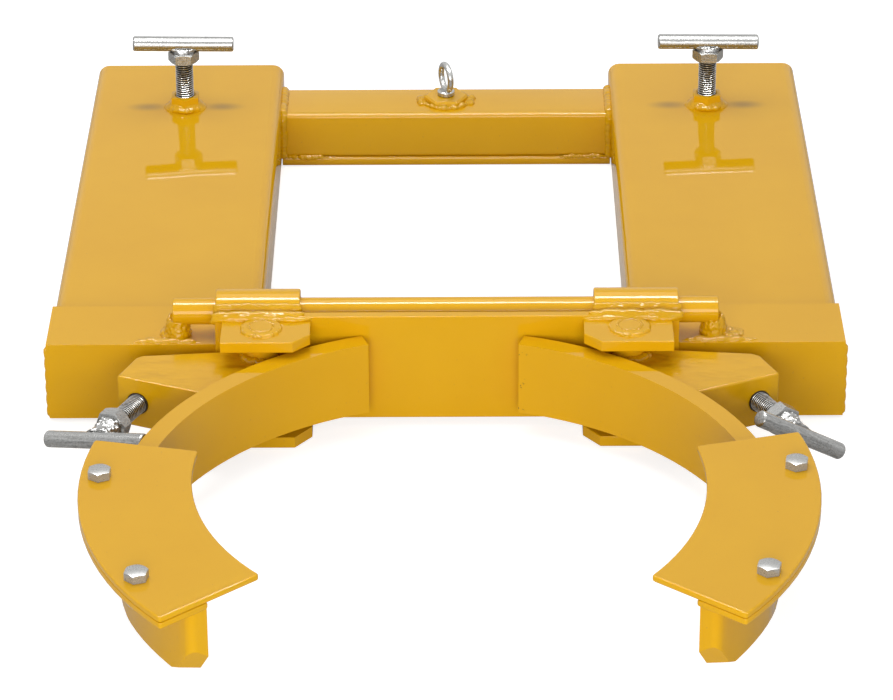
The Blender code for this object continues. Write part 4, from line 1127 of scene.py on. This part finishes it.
floor_paint = bpy.data.materials.new("pale floor")
floor_paint.use_nodes = True
floor_tree = floor_paint.node_tree
floor_shader = floor_tree.nodes["Principled BSDF"]
floor_shader.inputs["Base Color"].default_value = (0.5, 0.5, 0.5, 1.0)
floor_shader.inputs["Roughness"].default_value = 1.0
floor_shader.inputs["Specular IOR Level"].default_value = 0.0
floor_shader.inputs["Emission Color"].default_value = (1.0, 1.0, 1.0, 1.0)
floor_glow = add_node(floor_tree, "ShaderNodeMath", operation="MULTIPLY")
floor_glow.inputs[1].default_value = FLOOR_GLOW
floor_tree.links.new(seen_rays(floor_tree, FLOOR_MIRRORED), floor_glow.inputs[0])
floor_tree.links.new(floor_glow.outputs["Value"], floor_shader.inputs["Emission Strength"])
floor.data.materials.append(floor_paint)

world = bpy.data.worlds.new("surround")
bpy.context.scene.world = world
world.use_nodes = True
sky = world.node_tree.nodes["Background"]
sky.inputs["Color"].default_value = (1.0, 1.0, 1.0, 1.0)
sky_level = add_node(world.node_tree, "ShaderNodeMapRange", To_Min=SKY_LEVEL, To_Max=WHITE_LEVEL)
world.node_tree.links.new(seen_rays(world.node_tree), sky_level.inputs["Value"])
world.node_tree.links.new(sky_level.outputs["Result"], sky.inputs["Strength"])


def soft_lamp(name, at, aim, width, depth, power):
    """A rectangular lamp that points at a place."""
    light = bpy.data.lights.new(name, "AREA")
    light.shape = "RECTANGLE"
    light.size = width
    light.size_y = depth
    light.energy = power
    made = bpy.data.objects.new(name, light)
    bpy.context.scene.collection.objects.link(made)
    made.location = at
    made.rotation_euler = (Vector(aim) - Vector(at)).to_track_quat("-Z", "Y").to_euler()
    return made


soft_lamp("overhead lamp", (-0.4, 0.5, 2.5), (0.0, 0.0, 0.0), 2.6, 1.6, 34.0)
soft_lamp("front lamp", (-0.1, -3.4, 0.9), (0.0, 0.0, 0.0), 2.4, 1.6, 81.0)
strip = soft_lamp("highlight strip", (0.0, 0.1, 2.5), (0.0, 0.1, 0.0), 3.2, 0.45, 150.0)
strip.visible_diffuse = False


# Camera: set where the photograph was taken from.
PICTURE_WIDTH = 893
FOCAL_PIXELS = 4085.0
SENSOR_WIDTH = 36.0
CAMERA_PLACE = Vector((0.011, -3.50348, 1.8982))
PITCH_DEG = 27.93
YAW_DEG = -0.170
ROLL_DEG = 0.313

camera_data = bpy.data.cameras.new("camera")
camera_data.sensor_width = SENSOR_WIDTH
camera_data.lens = FOCAL_PIXELS / PICTURE_WIDTH * SENSOR_WIDTH
camera = bpy.data.objects.new("camera", camera_data)
bpy.context.scene.collection.objects.link(camera)
yaw = Matrix.Rotation(-math.radians(YAW_DEG), 4, "Z")
pitch = Matrix.Rotation(math.radians(90 - PITCH_DEG), 4, "X")
roll = Matrix.Rotation(-math.radians(ROLL_DEG), 4, "Z")
camera.matrix_world = Matrix.Translation(CAMERA_PLACE) @ yaw @ pitch @ roll
bpy.context.scene.camera = camera

bpy.context.scene.view_settings.view_transform = "Standard"
